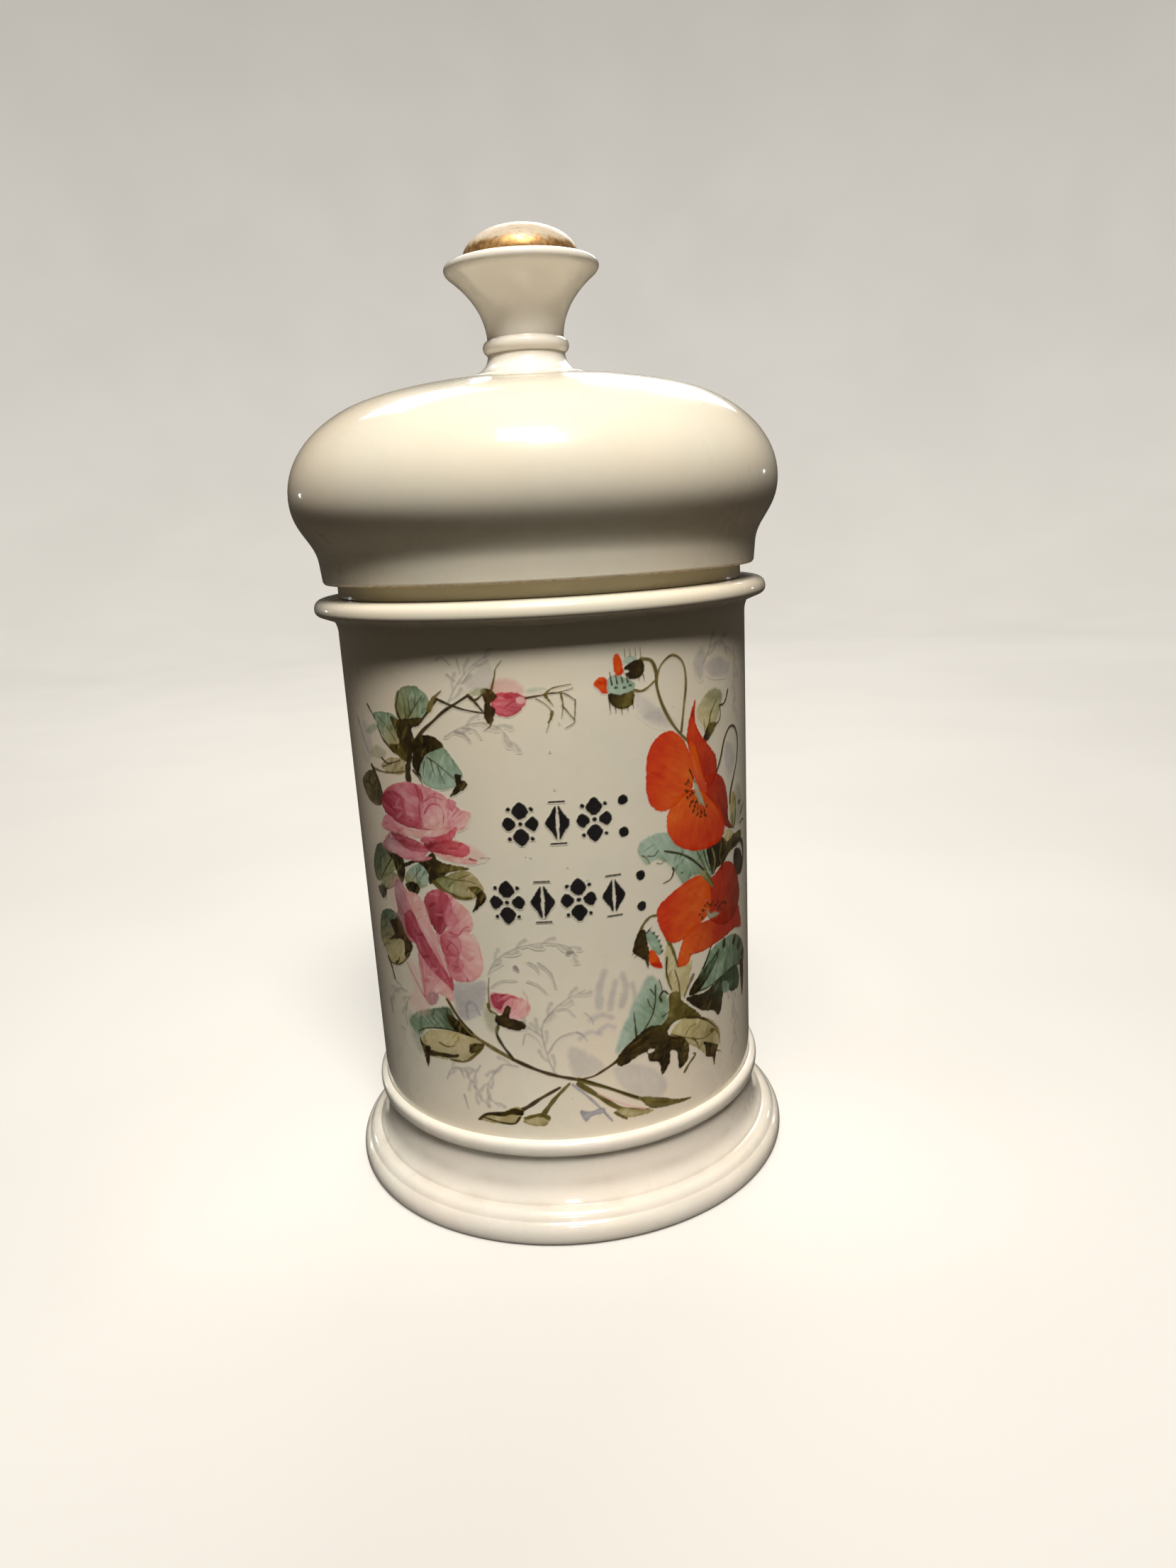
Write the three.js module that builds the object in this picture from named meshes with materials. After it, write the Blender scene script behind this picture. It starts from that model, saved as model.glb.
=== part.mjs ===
// A covered porcelain apothecary jar, in millimetres, +Z up.
// The origin is the centre of the foot's contact face. Every piece is a solid of revolution about Z.
// The jar is a cylindrical barrel set in a moulded foot ring. The lid is a dome with a locating flange
// luted inside it, a turned knob on its crown and a gilt boss on the knob. The lid rests on the jar's rim.
import * as THREE from 'three';

// Driving dimensions of the jar. The barrel is a little wider at the top than at the bottom.
const BARREL_RADIUS = 56.7;
const BARREL_TOP_RADIUS = 57.8;
const BARREL_WALL = 4.2;
const FLARE_Z = 160;
const FLOOR_UNDERSIDE_Z = 14;
const FLOOR_TOP_Z = 20;
const RIM_RADIUS = 63.7;
const RIM_WIDEST_Z = 166.9;
const RIM_TOP_Z = 169.7;
const FOOT_RADIUS = 65.8;
const FOOT_WIDEST_Z = 2.3;
const FOOT_CONTACT_RADIUS = 64.2;
const FOOT_BORE_RADIUS = 50;
const FOOT_STEP_RADIUS = 60;
const FOOT_STEP_Z = 9.4;
const BEAD_RADIUS = 58.8;
const BEAD_Z = 24.5;
const BEAD_BOTTOM_Z = 21.9;
const BEAD_TOP_Z = 26.6;

// Driving dimensions of the lid.
const LID_EDGE_RADIUS = 60.6;
const LID_EDGE_Z = 173.5;
const LID_RADIUS = 67.4;
const LID_WIDEST_Z = 196.2;
const LID_CROWN_Z = 225;
const LID_WALL = 3.6;
const FLANGE_SEAT_RADIUS = 56.8;
const FLANGE_SPIGOT_RADIUS = 51.9;
const FLANGE_BORE_RADIUS = 48.4;
const FLANGE_BOTTOM_Z = 162;
const KNOB_FLANGE_RADIUS = 17.4;
const KNOB_NECK_RADIUS = 10.6;
const KNOB_BEAD_RADIUS = 11.8;
const KNOB_BEAD_Z = 233.7;
const KNOB_WAIST_RADIUS = 10.4;
const KNOB_WAIST_Z = 236.6;
const KNOB_RIM_RADIUS = 20.9;
const KNOB_RIM_Z = 253.4;
const KNOB_TOP_Z = 255.6;
const BOSS_RADIUS = 15.7;
const BOSS_TOP_Z = 264.4;
const JOINT_GAP = 0.3;

// Facets: steps round the axis, and steps along one curve of a profile.
const STEPS_ROUND = 40;
const STEPS_PER_CURVE = 4;

const ON_AXIS = 0;
const glaze = { roughness: 0.16, metalness: 0 };
const bare = { roughness: 0.6, metalness: 0 };
const gilding = { roughness: 0.35, metalness: 1 };
const colours = { jar: 0xece4d4, lid: 0xeee8da, bareRing: 0xe4d9c3, gold: 0xb98a3e };

// A profile is a path in (radius, height). This turns it into points, with each curve cut evenly.
function profilePoints(path) {
  const points = [];
  for (const curve of path.curves) {
    const steps = curve.isLineCurve ? 1 : STEPS_PER_CURVE;
    points.push(...curve.getPoints(steps).slice(points.length ? 1 : 0));
  }
  return points;
}

// Revolves a profile about Z. The profile runs up the outside and back down the inside.
function revolved(name, path, colour, finish) {
  const geometry = new THREE.LatheGeometry(profilePoints(path), STEPS_ROUND);
  geometry.rotateX(Math.PI / 2);
  const material = new THREE.MeshStandardMaterial({ color: colour, ...finish });
  const mesh = new THREE.Mesh(geometry, material);
  mesh.name = name;
  return mesh;
}

// The barrel: a straight cup with a flat floor, and a flared lip that ends in a rolled rim.
function jarBarrel() {
  const lipRootRadius = 58.7;
  const lipRootZ = 164;
  const lipTopRadius = 60.2;
  const mouthEdgeRadius = 54.4;
  const bore = BARREL_RADIUS - BARREL_WALL;
  const floorCorner = 6;
  const path = new THREE.Path();
  path.moveTo(ON_AXIS, FLOOR_UNDERSIDE_Z);
  path.lineTo(BARREL_RADIUS - 1, FLOOR_UNDERSIDE_Z);
  path.lineTo(BARREL_RADIUS, FLOOR_UNDERSIDE_Z + 1);
  path.lineTo(BARREL_RADIUS, BEAD_TOP_Z);
  path.lineTo(BARREL_TOP_RADIUS, FLARE_Z);
  path.quadraticCurveTo(BARREL_TOP_RADIUS, lipRootZ - 2, lipRootRadius, lipRootZ);
  path.lineTo(RIM_RADIUS - 1, RIM_WIDEST_Z - 1.3);
  path.quadraticCurveTo(RIM_RADIUS, RIM_WIDEST_Z - 0.8, RIM_RADIUS, RIM_WIDEST_Z);
  path.quadraticCurveTo(RIM_RADIUS, RIM_TOP_Z, lipTopRadius, RIM_TOP_Z);
  path.lineTo(mouthEdgeRadius, RIM_TOP_Z);
  path.quadraticCurveTo(bore, RIM_TOP_Z, bore, RIM_TOP_Z - 1.8);
  path.lineTo(bore, FLOOR_TOP_Z + floorCorner);
  path.quadraticCurveTo(bore, FLOOR_TOP_Z, bore - floorCorner, FLOOR_TOP_Z);
  path.lineTo(ON_AXIS, FLOOR_TOP_Z);
  return revolved('jar_barrel', path, colours.jar, glaze);
}

// The foot ring: a torus at the bottom, a shallow groove and a shoulder, a crisp step, a cove, and a bead that
// laps up round the barrel.
function footRing() {
  const socketRadius = BARREL_RADIUS + JOINT_GAP;
  const socketZ = FLOOR_UNDERSIDE_Z - JOINT_GAP;
  const coveTopRadius = BARREL_RADIUS + 0.5;
  const grooveRadius = 63.4;
  const grooveZ = 6;
  const shoulderZ = FOOT_STEP_Z - 0.5;
  const path = new THREE.Path();
  path.moveTo(FOOT_BORE_RADIUS, 0);
  path.lineTo(FOOT_CONTACT_RADIUS, 0);
  path.quadraticCurveTo(FOOT_RADIUS, 0, FOOT_RADIUS, FOOT_WIDEST_Z);
  path.bezierCurveTo(FOOT_RADIUS, 4.4, grooveRadius + 0.9, grooveZ - 0.2, grooveRadius, grooveZ);
  path.bezierCurveTo(grooveRadius + 0.1, 7.6, 62.4, shoulderZ - 0.2, FOOT_STEP_RADIUS + 0.3, shoulderZ);
  path.lineTo(FOOT_STEP_RADIUS, FOOT_STEP_Z);
  path.quadraticCurveTo(coveTopRadius, 12, coveTopRadius, BEAD_BOTTOM_Z);
  path.quadraticCurveTo(BEAD_RADIUS, BEAD_BOTTOM_Z, BEAD_RADIUS, BEAD_Z);
  path.quadraticCurveTo(BEAD_RADIUS, BEAD_TOP_Z - 1, socketRadius + 0.2, BEAD_TOP_Z);
  path.lineTo(socketRadius, BEAD_TOP_Z);
  path.lineTo(socketRadius, socketZ);
  path.lineTo(FOOT_BORE_RADIUS, socketZ);
  path.lineTo(FOOT_BORE_RADIUS, 0);
  return revolved('foot_ring', path, colours.jar, glaze);
}

// The lid's dome: a short upright edge that swells to the widest line and closes in a flat crown.
function lidDome() {
  const edgeTopZ = 179.4;
  const edgeBore = FLANGE_SEAT_RADIUS + JOINT_GAP;
  const crownPadRadius = KNOB_FLANGE_RADIUS + 0.6;
  const innerRadius = LID_RADIUS - LID_WALL;
  const innerCrownZ = LID_CROWN_Z - LID_WALL;
  const path = new THREE.Path();
  path.moveTo(edgeBore, LID_EDGE_Z);
  path.lineTo(LID_EDGE_RADIUS - 0.5, LID_EDGE_Z);
  path.lineTo(LID_EDGE_RADIUS, LID_EDGE_Z + 0.7);
  path.lineTo(LID_EDGE_RADIUS + 0.5, edgeTopZ);
  path.bezierCurveTo(LID_EDGE_RADIUS + 1.2, 185.4, LID_RADIUS, 187.6, LID_RADIUS, LID_WIDEST_Z);
  path.bezierCurveTo(LID_RADIUS, 205.6, 60.6, 213.6, 50.6, 218.4);
  path.bezierCurveTo(43.6, 221.5, 32, 224, crownPadRadius, LID_CROWN_Z);
  path.lineTo(ON_AXIS, LID_CROWN_Z);
  path.lineTo(ON_AXIS, innerCrownZ);
  path.lineTo(16, innerCrownZ);
  path.bezierCurveTo(30, 220.8, 41.6, 218.2, 48.4, 214.9);
  path.bezierCurveTo(57.4, 210.4, innerRadius, 204, innerRadius, LID_WIDEST_Z);
  path.bezierCurveTo(innerRadius, 189.4, edgeBore, 188, edgeBore, edgeTopZ + 4);
  path.lineTo(edgeBore, LID_EDGE_Z);
  return revolved('lid_dome', path, colours.lid, glaze);
}

// The flange luted inside the lid: its shoulder rests on the rim and its spigot drops into the mouth.
function lidFlange() {
  const seatZ = RIM_TOP_Z + JOINT_GAP;
  const topZ = 182.5;
  const path = new THREE.Path();
  path.moveTo(FLANGE_BORE_RADIUS, FLANGE_BOTTOM_Z);
  path.lineTo(FLANGE_SPIGOT_RADIUS - 1, FLANGE_BOTTOM_Z);
  path.quadraticCurveTo(FLANGE_SPIGOT_RADIUS, FLANGE_BOTTOM_Z, FLANGE_SPIGOT_RADIUS, FLANGE_BOTTOM_Z + 1.4);
  path.lineTo(FLANGE_SPIGOT_RADIUS, seatZ);
  path.lineTo(FLANGE_SEAT_RADIUS, seatZ);
  path.lineTo(FLANGE_SEAT_RADIUS, topZ);
  path.lineTo(FLANGE_BORE_RADIUS + 2.6, topZ);
  path.quadraticCurveTo(FLANGE_BORE_RADIUS, topZ - 2, FLANGE_BORE_RADIUS, topZ - 6);
  path.lineTo(FLANGE_BORE_RADIUS, FLANGE_BOTTOM_Z);
  return revolved('lid_flange', path, colours.bareRing, bare);
}

// The knob: a thin foot flange, a neck with a bead, and a trumpet that flares to a rounded rim.
function knob() {
  const bottomZ = LID_CROWN_Z + JOINT_GAP;
  const beadHalfHeight = 1.9;
  const rimRootRadius = 19.2;
  const path = new THREE.Path();
  path.moveTo(ON_AXIS, bottomZ);
  path.lineTo(KNOB_FLANGE_RADIUS, bottomZ);
  path.lineTo(KNOB_FLANGE_RADIUS - 0.4, bottomZ + 0.7);
  path.quadraticCurveTo(KNOB_NECK_RADIUS, 227.4, KNOB_NECK_RADIUS, KNOB_BEAD_Z - beadHalfHeight);
  path.quadraticCurveTo(KNOB_BEAD_RADIUS, KNOB_BEAD_Z - 1.2, KNOB_BEAD_RADIUS, KNOB_BEAD_Z);
  path.quadraticCurveTo(KNOB_BEAD_RADIUS, KNOB_BEAD_Z + 1.2, KNOB_WAIST_RADIUS, KNOB_WAIST_Z - 1);
  path.bezierCurveTo(10.6, 242.6, 15, 247.8, rimRootRadius, 251.2);
  path.quadraticCurveTo(KNOB_RIM_RADIUS, 252.4, KNOB_RIM_RADIUS, KNOB_RIM_Z);
  path.quadraticCurveTo(KNOB_RIM_RADIUS, 254.8, 18.8, 255.1);
  path.lineTo(BOSS_RADIUS + 0.4, KNOB_TOP_Z);
  path.lineTo(ON_AXIS, KNOB_TOP_Z);
  return revolved('knob', path, colours.lid, glaze);
}

// The gilt boss: a low dome on the knob's flat top.
function giltBoss() {
  const bottomZ = KNOB_TOP_Z + JOINT_GAP;
  const path = new THREE.Path();
  path.moveTo(ON_AXIS, bottomZ);
  path.lineTo(BOSS_RADIUS, bottomZ);
  path.bezierCurveTo(BOSS_RADIUS - 0.3, 261, 8.4, BOSS_TOP_Z, ON_AXIS, BOSS_TOP_Z);
  return revolved('gilt_boss', path, colours.gold, gilding);
}

const jar = new THREE.Group();
jar.name = 'jar';
jar.add(jarBarrel(), footRing());

const lid = new THREE.Group();
lid.name = 'lid';
lid.add(lidDome(), lidFlange(), knob(), giltBoss());

const group = new THREE.Group();
group.add(jar, lid);

export default group;
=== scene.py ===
"""Looks for the covered porcelain apothecary jar: glazed turned pieces, painted sprays and worn gilding.

Lengths in the outlines and in the painting are millimetres; meshes are built in metres. Z is up and the jar
stands on z = 0. The painting is laid out on the barrel's unrolled side: s is the distance round from the
front middle line (positive to the right) and z is the height.
"""

import math

import bpy
import numpy as np
from mathutils import Matrix, Vector


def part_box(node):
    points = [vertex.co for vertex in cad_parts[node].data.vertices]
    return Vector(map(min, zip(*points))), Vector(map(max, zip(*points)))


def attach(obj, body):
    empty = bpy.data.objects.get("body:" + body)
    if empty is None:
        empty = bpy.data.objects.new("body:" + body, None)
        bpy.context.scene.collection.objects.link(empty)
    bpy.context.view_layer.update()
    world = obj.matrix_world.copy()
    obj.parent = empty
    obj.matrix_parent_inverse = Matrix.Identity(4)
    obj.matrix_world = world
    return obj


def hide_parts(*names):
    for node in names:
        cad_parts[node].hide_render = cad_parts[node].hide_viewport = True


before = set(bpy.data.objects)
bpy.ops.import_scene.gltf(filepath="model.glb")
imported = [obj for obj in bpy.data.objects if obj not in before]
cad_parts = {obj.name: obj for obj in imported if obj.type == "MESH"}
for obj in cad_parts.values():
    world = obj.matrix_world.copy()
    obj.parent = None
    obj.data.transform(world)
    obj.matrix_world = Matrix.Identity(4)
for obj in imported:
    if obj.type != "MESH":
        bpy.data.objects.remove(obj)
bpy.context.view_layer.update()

MM = 0.001
ORIGIN_SEED = 1871

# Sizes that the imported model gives, in millimetres.
FOOT_LOW, FOOT_HIGH = (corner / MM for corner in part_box("foot_ring"))
JAR_LOW, JAR_HIGH = (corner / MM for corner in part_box("jar_barrel"))
DOME_LOW, DOME_HIGH = (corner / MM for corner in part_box("lid_dome"))
FLANGE_LOW, FLANGE_HIGH = (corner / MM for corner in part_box("lid_flange"))
KNOB_LOW, KNOB_HIGH = (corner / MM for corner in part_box("knob"))
BOSS_LOW, BOSS_HIGH = (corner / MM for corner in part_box("gilt_boss"))

# Driving sizes of the jar and the lid, as in the CAD model.
BARREL_RADIUS = 56.7
BARREL_TOP_RADIUS = 57.8
BARREL_WALL = 4.2
FLOOR_THICKNESS = 6
LID_WALL = 3.6
BEAD_TOP_Z = FOOT_HIGH.z
FLARE_Z = 160.0
JOINT_GAP = 0.3
SEAM_GAP = 0.08
ROUND_STEPS = 256
CURVE_STEPS = 14
CORNER_RADIUS = 0.35


# ---------------------------------------------------------------- outlines and revolved meshes
def bezier(controls, steps):
    """Points along a Bezier curve of any degree, without its first point."""
    degree = len(controls) - 1
    controls = np.array(controls, float)
    t = np.linspace(0.0, 1.0, steps + 1)[1:, None]
    weights = [math.comb(degree, i) * t**i * (1 - t) ** (degree - i) for i in range(degree + 1)]
    return sum(w * c for w, c in zip(weights, controls))


class Outline:
    """A path in (radius, height) that runs up the outside of a piece and back down its inside."""

    def __init__(self, radius, z):
        self.points = [(radius, z)]

    def line(self, radius, z):
        self.points.append((radius, z))
        return self

    def curve(self, *controls):
        path = bezier([self.points[-1], *controls], CURVE_STEPS)
        self.points.extend(map(tuple, path))
        return self


def corner_turns(points, closed):
    """The turn at each point in radians: positive at a corner that stands out, negative in a crease."""
    back = points - np.roll(points, 1, 0)
    ahead = np.roll(points, -1, 0) - points
    cross = back[:, 0] * ahead[:, 1] - back[:, 1] * ahead[:, 0]
    turns = np.arctan2(cross, (back * ahead).sum(1))
    if not closed:
        turns[[0, -1]] = 0.0
    return turns


def softened(outline, radius):
    """The outline with its sharp corners rounded, as glaze does, and how deep in a crease each point lies."""
    sharp_turn = math.radians(18)
    arc_steps = 5
    crease_reach = 1.6
    points = np.array(outline.points, float)
    closed = bool(np.allclose(points[0], points[-1]))
    if closed:
        points = points[:-1]
    turns = corner_turns(points, closed)
    result = []
    for i, point in enumerate(points):
        if abs(turns[i]) < sharp_turn:
            result.append(point)
            continue
        before = points[i - 1] - point
        after = points[(i + 1) % len(points)] - point
        reach = radius * math.tan(abs(turns[i]) / 2)
        reach = min(reach, 0.45 * np.linalg.norm(before), 0.45 * np.linalg.norm(after))
        start = point + before / np.linalg.norm(before) * reach
        end = point + after / np.linalg.norm(after) * reach
        result.append(start)
        result.extend(bezier([start, point, end], arc_steps))
    result = np.array(result)
    creases = points[turns < -sharp_turn]
    depths = np.minimum(1.0, -turns[turns < -sharp_turn])
    crease = np.zeros(len(result))
    for place, depth in zip(creases, depths):
        distance = np.linalg.norm(result - place, axis=1)
        crease = np.maximum(crease, depth * np.exp(-((distance / crease_reach) ** 2)))
    return result, crease, closed


def unevenness(angle, z):
    """How far the moulded surface stands out from true, in millimetres, at a full radius."""
    waves = ((0.030, 2, 0.011, 0.4), (0.022, 3, -0.024, 1.9), (0.014, 5, 0.041, 3.1),
             (0.008, 9, -0.067, 0.8))
    return sum(size * np.cos(turns * angle + rise * z + start) for size, turns, rise, start in waves)


def on_surface(radius, angle, z):
    """The place, in metres, of a point at an angle from the front (positive to the right)."""
    fullness = np.minimum(1.0, radius / BARREL_RADIUS)
    true = radius + fullness * unevenness(angle, z)
    return np.stack([true * np.sin(angle), -true * np.cos(angle), z + 0 * angle], -1) * MM


def new_mesh_object(name, vertices, faces):
    mesh = bpy.data.meshes.new(name)
    mesh.from_pydata(vertices, [], faces)
    mesh.validate()
    mesh.polygons.foreach_set("use_smooth", np.ones(len(mesh.polygons), bool))
    piece = bpy.data.objects.new(name, mesh)
    bpy.context.scene.collection.objects.link(piece)
    return piece


def add_values(piece, name, values):
    attribute = piece.data.attributes.new(name, "FLOAT", "POINT")
    attribute.data.foreach_set("value", np.asarray(values, np.float32))


def revolved(name, outline, corner=CORNER_RADIUS):
    """A closed solid of revolution. Its "crease" attribute is 1 deep in a crease and 0 on open faces."""
    points, crease, closed = softened(outline, corner)
    angles = np.arange(ROUND_STEPS) * (2 * math.pi / ROUND_STEPS)
    vertices, depths, rings = [], [], []
    for (radius, z), depth in zip(points, crease):
        first = len(vertices)
        if radius < 1e-6:
            vertices.append((0.0, 0.0, z * MM))
            rings.append([first] * ROUND_STEPS)
            depths.append(depth)
            continue
        ring = on_surface(np.full(ROUND_STEPS, radius), angles, z)
        vertices.extend(map(tuple, ring))
        rings.append(list(range(first, first + ROUND_STEPS)))
        depths.extend([depth] * ROUND_STEPS)
    faces = []
    pairs = list(zip(rings, rings[1:]))
    if closed:
        pairs.append((rings[-1], rings[0]))
    for low, high in pairs:
        for i in range(ROUND_STEPS):
            j = (i + 1) % ROUND_STEPS
            corners = dict.fromkeys((low[i], low[j], high[j], high[i]))
            if len(corners) > 2:
                faces.append(tuple(corners))
    piece = new_mesh_object(name, vertices, faces)
    add_values(piece, "crease", depths)
    return piece


# ---------------------------------------------------------------- materials
def display(red, green, blue):
    """A colour given as it shows on a display, 0 to 255, as linear light."""
    shown = np.array((red, green, blue), float) / 255
    return tuple(np.where(shown <= 0.04045, shown / 12.92, ((shown + 0.055) / 1.055) ** 2.4))


class Nodes:
    """Builds one material's node tree. Each call adds a node and returns an output to feed on."""

    def __init__(self, name):
        self.material = bpy.data.materials.new(name)
        self.material.use_nodes = True
        self.tree = self.material.node_tree
        self.tree.nodes.clear()
        self.output = self.tree.nodes.new("ShaderNodeOutputMaterial")
        self.place = self.add("ShaderNodeTexCoord").outputs["Object"]

    def add(self, kind, inputs=None, **settings):
        node = self.tree.nodes.new(kind)
        for key, value in settings.items():
            setattr(node, key, value)
        for key, value in (inputs or {}).items():
            self.feed(node.inputs[key], value)
        return node

    def feed(self, socket, value):
        if isinstance(value, bpy.types.NodeSocket):
            self.tree.links.new(value, socket)
        elif isinstance(value, tuple) and len(value) == 3 and socket.type == "RGBA":
            socket.default_value = (*value, 1.0)
        else:
            socket.default_value = value

    def noise(self, size_mm, detail=2.0, stretch=(1, 1, 1), shift=0.0):
        """Smooth noise, 0 to 1, whose lumps are about size_mm across."""
        place = self.add(
            "ShaderNodeMapping", {"Vector": self.place, "Scale": stretch, "Location": (shift, shift, shift)}
        )
        node = self.add(
            "ShaderNodeTexNoise",
            {"Vector": place.outputs[0], "Scale": 1 / (size_mm * MM), "Detail": detail, "Roughness": 0.55},
        )
        return node.outputs[0]

    def ramp(self, value, low, high, to_low=0.0, to_high=1.0):
        """value from low..high to to_low..to_high, smoothly and without going past either end."""
        node = self.add(
            "ShaderNodeMapRange",
            {"Value": value, "From Min": low, "From Max": high, "To Min": to_low, "To Max": to_high},
            interpolation_type="SMOOTHSTEP",
        )
        return node.outputs[0]

    def maths(self, operation, a, b=0.0):
        node = self.add("ShaderNodeMath", {0: a, 1: b}, operation=operation)
        return node.outputs[0]

    def plus(self, a, b):
        return self.maths("ADD", a, b)

    def times(self, a, b):
        return self.maths("MULTIPLY", a, b)

    def mix(self, share, a, b, blend="MIX"):
        """Colour a with a share of colour b."""
        node = self.add("ShaderNodeMix", data_type="RGBA", blend_type=blend)
        self.feed(node.inputs[0], share)
        self.feed(node.inputs[6], a)
        self.feed(node.inputs[7], b)
        return node.outputs[2]

    def attribute(self, name):
        return self.add("ShaderNodeAttribute", attribute_name=name)

    def height_z(self):
        return self.add("ShaderNodeSeparateXYZ", {0: self.place}).outputs[2]

    def bump(self, height, distance_mm, strength=1.0, below=None):
        inputs = {"Height": height, "Distance": distance_mm * MM, "Strength": strength}
        if below is not None:
            inputs["Normal"] = below
        return self.add("ShaderNodeBump", inputs).outputs[0]

    def finish(self, **inputs):
        named = {key.replace("_", " "): value for key, value in inputs.items()}
        shader = self.add("ShaderNodeBsdfPrincipled", named)
        self.tree.links.new(shader.outputs[0], self.output.inputs[0])
        return self.material


PORCELAIN = display(229, 221, 201)
PORCELAIN_COOL = display(221, 216, 198)
PORCELAIN_WARM = display(232, 219, 196)
PORCELAIN_BLUE = display(224, 225, 226)
# Brown used as painted shade in creases, and also as the grain of bare clay.
SHADE_AND_GRAIN_BROWN = display(150, 128, 98)
SPECK_TINT = display(96, 74, 52)
BARE_BISCUIT = display(206, 190, 164)
FLANGE_GREY_AND_SHADE = display(206, 197, 160)
GOLD_BRIGHT = display(196, 156, 98)
GOLD_DULL = display(150, 108, 58)
RUBBED_GROUND = display(158, 141, 116)
RUB_MARK = display(150, 122, 88)

# How every glazed surface shines: a soft body under a clear, smooth coat.
GLAZE_COAT = 0.85
GLAZE_SHEEN = {"Specular_IOR_Level": 0.15, "Coat_Roughness": 0.055, "Coat_IOR": 1.52, "IOR": 1.5}


def speckled(nodes, colour, cell_mm, share, radius_mm):
    """colour with small dark pits in a share of the cells of a random grid."""
    cells = nodes.add("ShaderNodeTexVoronoi", {"Vector": nodes.place, "Scale": 1 / (cell_mm * MM)})
    reach = radius_mm / cell_mm
    dot = nodes.ramp(cells.outputs["Distance"], reach * 0.5, reach, 1.0, 0.0)
    chosen = nodes.add("ShaderNodeSeparateColor", {0: cells.outputs["Color"]}).outputs[0]
    chosen = nodes.maths("GREATER_THAN", chosen, 1 - share)
    pits = nodes.times(dot, chosen)
    return nodes.mix(nodes.times(pits, 0.75), colour, SPECK_TINT), pits


def glaze_colour(nodes):
    """The glaze's own colour: warm and cool drifts over the body, and a few pits."""
    drift = nodes.ramp(nodes.noise(70), 0.35, 0.65)
    colour = nodes.mix(drift, PORCELAIN_COOL, PORCELAIN_WARM)
    fine = nodes.ramp(nodes.noise(9, 3.0, shift=4.0), 0.3, 0.7)
    colour = nodes.mix(nodes.times(fine, 0.5), colour, PORCELAIN)
    return speckled(nodes, colour, 6.5, 0.22, 0.19)


def glaze_surface(nodes, pits):
    """The glaze's roughness and normal: slow ripples, fine orange peel and the pits."""
    roughness = nodes.ramp(nodes.noise(16, 3.0, shift=9.0), 0.3, 0.7, 0.24, 0.34)
    ripple = nodes.bump(nodes.noise(11, 2.0, shift=2.0), 0.055)
    peel = nodes.bump(nodes.noise(1.6, 1.0, shift=6.0), 0.0025, below=ripple)
    return roughness, nodes.bump(pits, -0.04, below=peel)


def glazed_material(name, bare_below=None, tint=1.0, cool=0.0):
    """Glazed porcelain. Creases hold a brown tint, partly pooled glaze and partly painted shade, and the clay
    is bare below a height in millimetres.

    tint scales the brown painted shade in the creases, and cool is the share of a cooler, bluer white in the
    glaze.
    """
    nodes = Nodes(name)
    colour, pits = glaze_colour(nodes)
    if cool:
        colour = nodes.mix(cool, colour, PORCELAIN_BLUE)
    # Painted shade: creases darken to brown where shade falls, with some pooled glaze there too.
    crease = nodes.attribute("crease").outputs["Fac"]
    blotch = nodes.ramp(nodes.noise(14, 2.0, shift=1.0), 0.3, 0.7, 0.12, 0.34)
    stain_and_shade = nodes.times(nodes.times(crease, blotch), tint)
    colour = nodes.mix(stain_and_shade, colour, SHADE_AND_GRAIN_BROWN)
    roughness, normal = glaze_surface(nodes, pits)
    coat = GLAZE_COAT
    if bare_below is not None:
        edge = nodes.ramp(nodes.noise(2.2, 3.0, shift=3.0), 0.2, 0.8, -0.16 * MM, 0.16 * MM)
        height = nodes.plus(nodes.height_z(), edge)
        bare = nodes.ramp(height, bare_below * MM, (bare_below + 0.25) * MM, 1.0, 0.0)
        grain = nodes.ramp(nodes.noise(0.9, 3.0, shift=5.0), 0.3, 0.7, 0.0, 0.55)
        clay = nodes.mix(grain, BARE_BISCUIT, SHADE_AND_GRAIN_BROWN)
        colour = nodes.mix(bare, colour, clay)
        roughness = nodes.plus(roughness, nodes.times(bare, 0.4))
        coat = nodes.times(nodes.maths("SUBTRACT", 1.0, bare), GLAZE_COAT)
    return nodes.finish(
        Base_Color=colour,
        Roughness=roughness,
        Normal=normal,
        Coat_Weight=coat,
        **GLAZE_SHEEN,
    )


def flange_material(name):
    """Thin uneven glaze over the lid's locating flange, greyer than the dome, partly as painted shade of the
    gap under the lid.
    """
    nodes = Nodes(name)
    colour, pits = glaze_colour(nodes)
    # Painted shade: a grey-olive share darkens the flange, which sits in the shaded gap under the lid's edge.
    grey_and_shade_share = nodes.ramp(nodes.noise(14.0, 2.0), 0.3, 0.7, 0.72, 0.92)
    colour = nodes.mix(grey_and_shade_share, colour, FLANGE_GREY_AND_SHADE)
    roughness, normal = glaze_surface(nodes, pits)
    return nodes.finish(
        Base_Color=colour,
        Roughness=nodes.plus(roughness, 0.1),
        Normal=normal,
        Coat_Weight=0.4,
        Coat_Roughness=0.12,
    )


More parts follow.
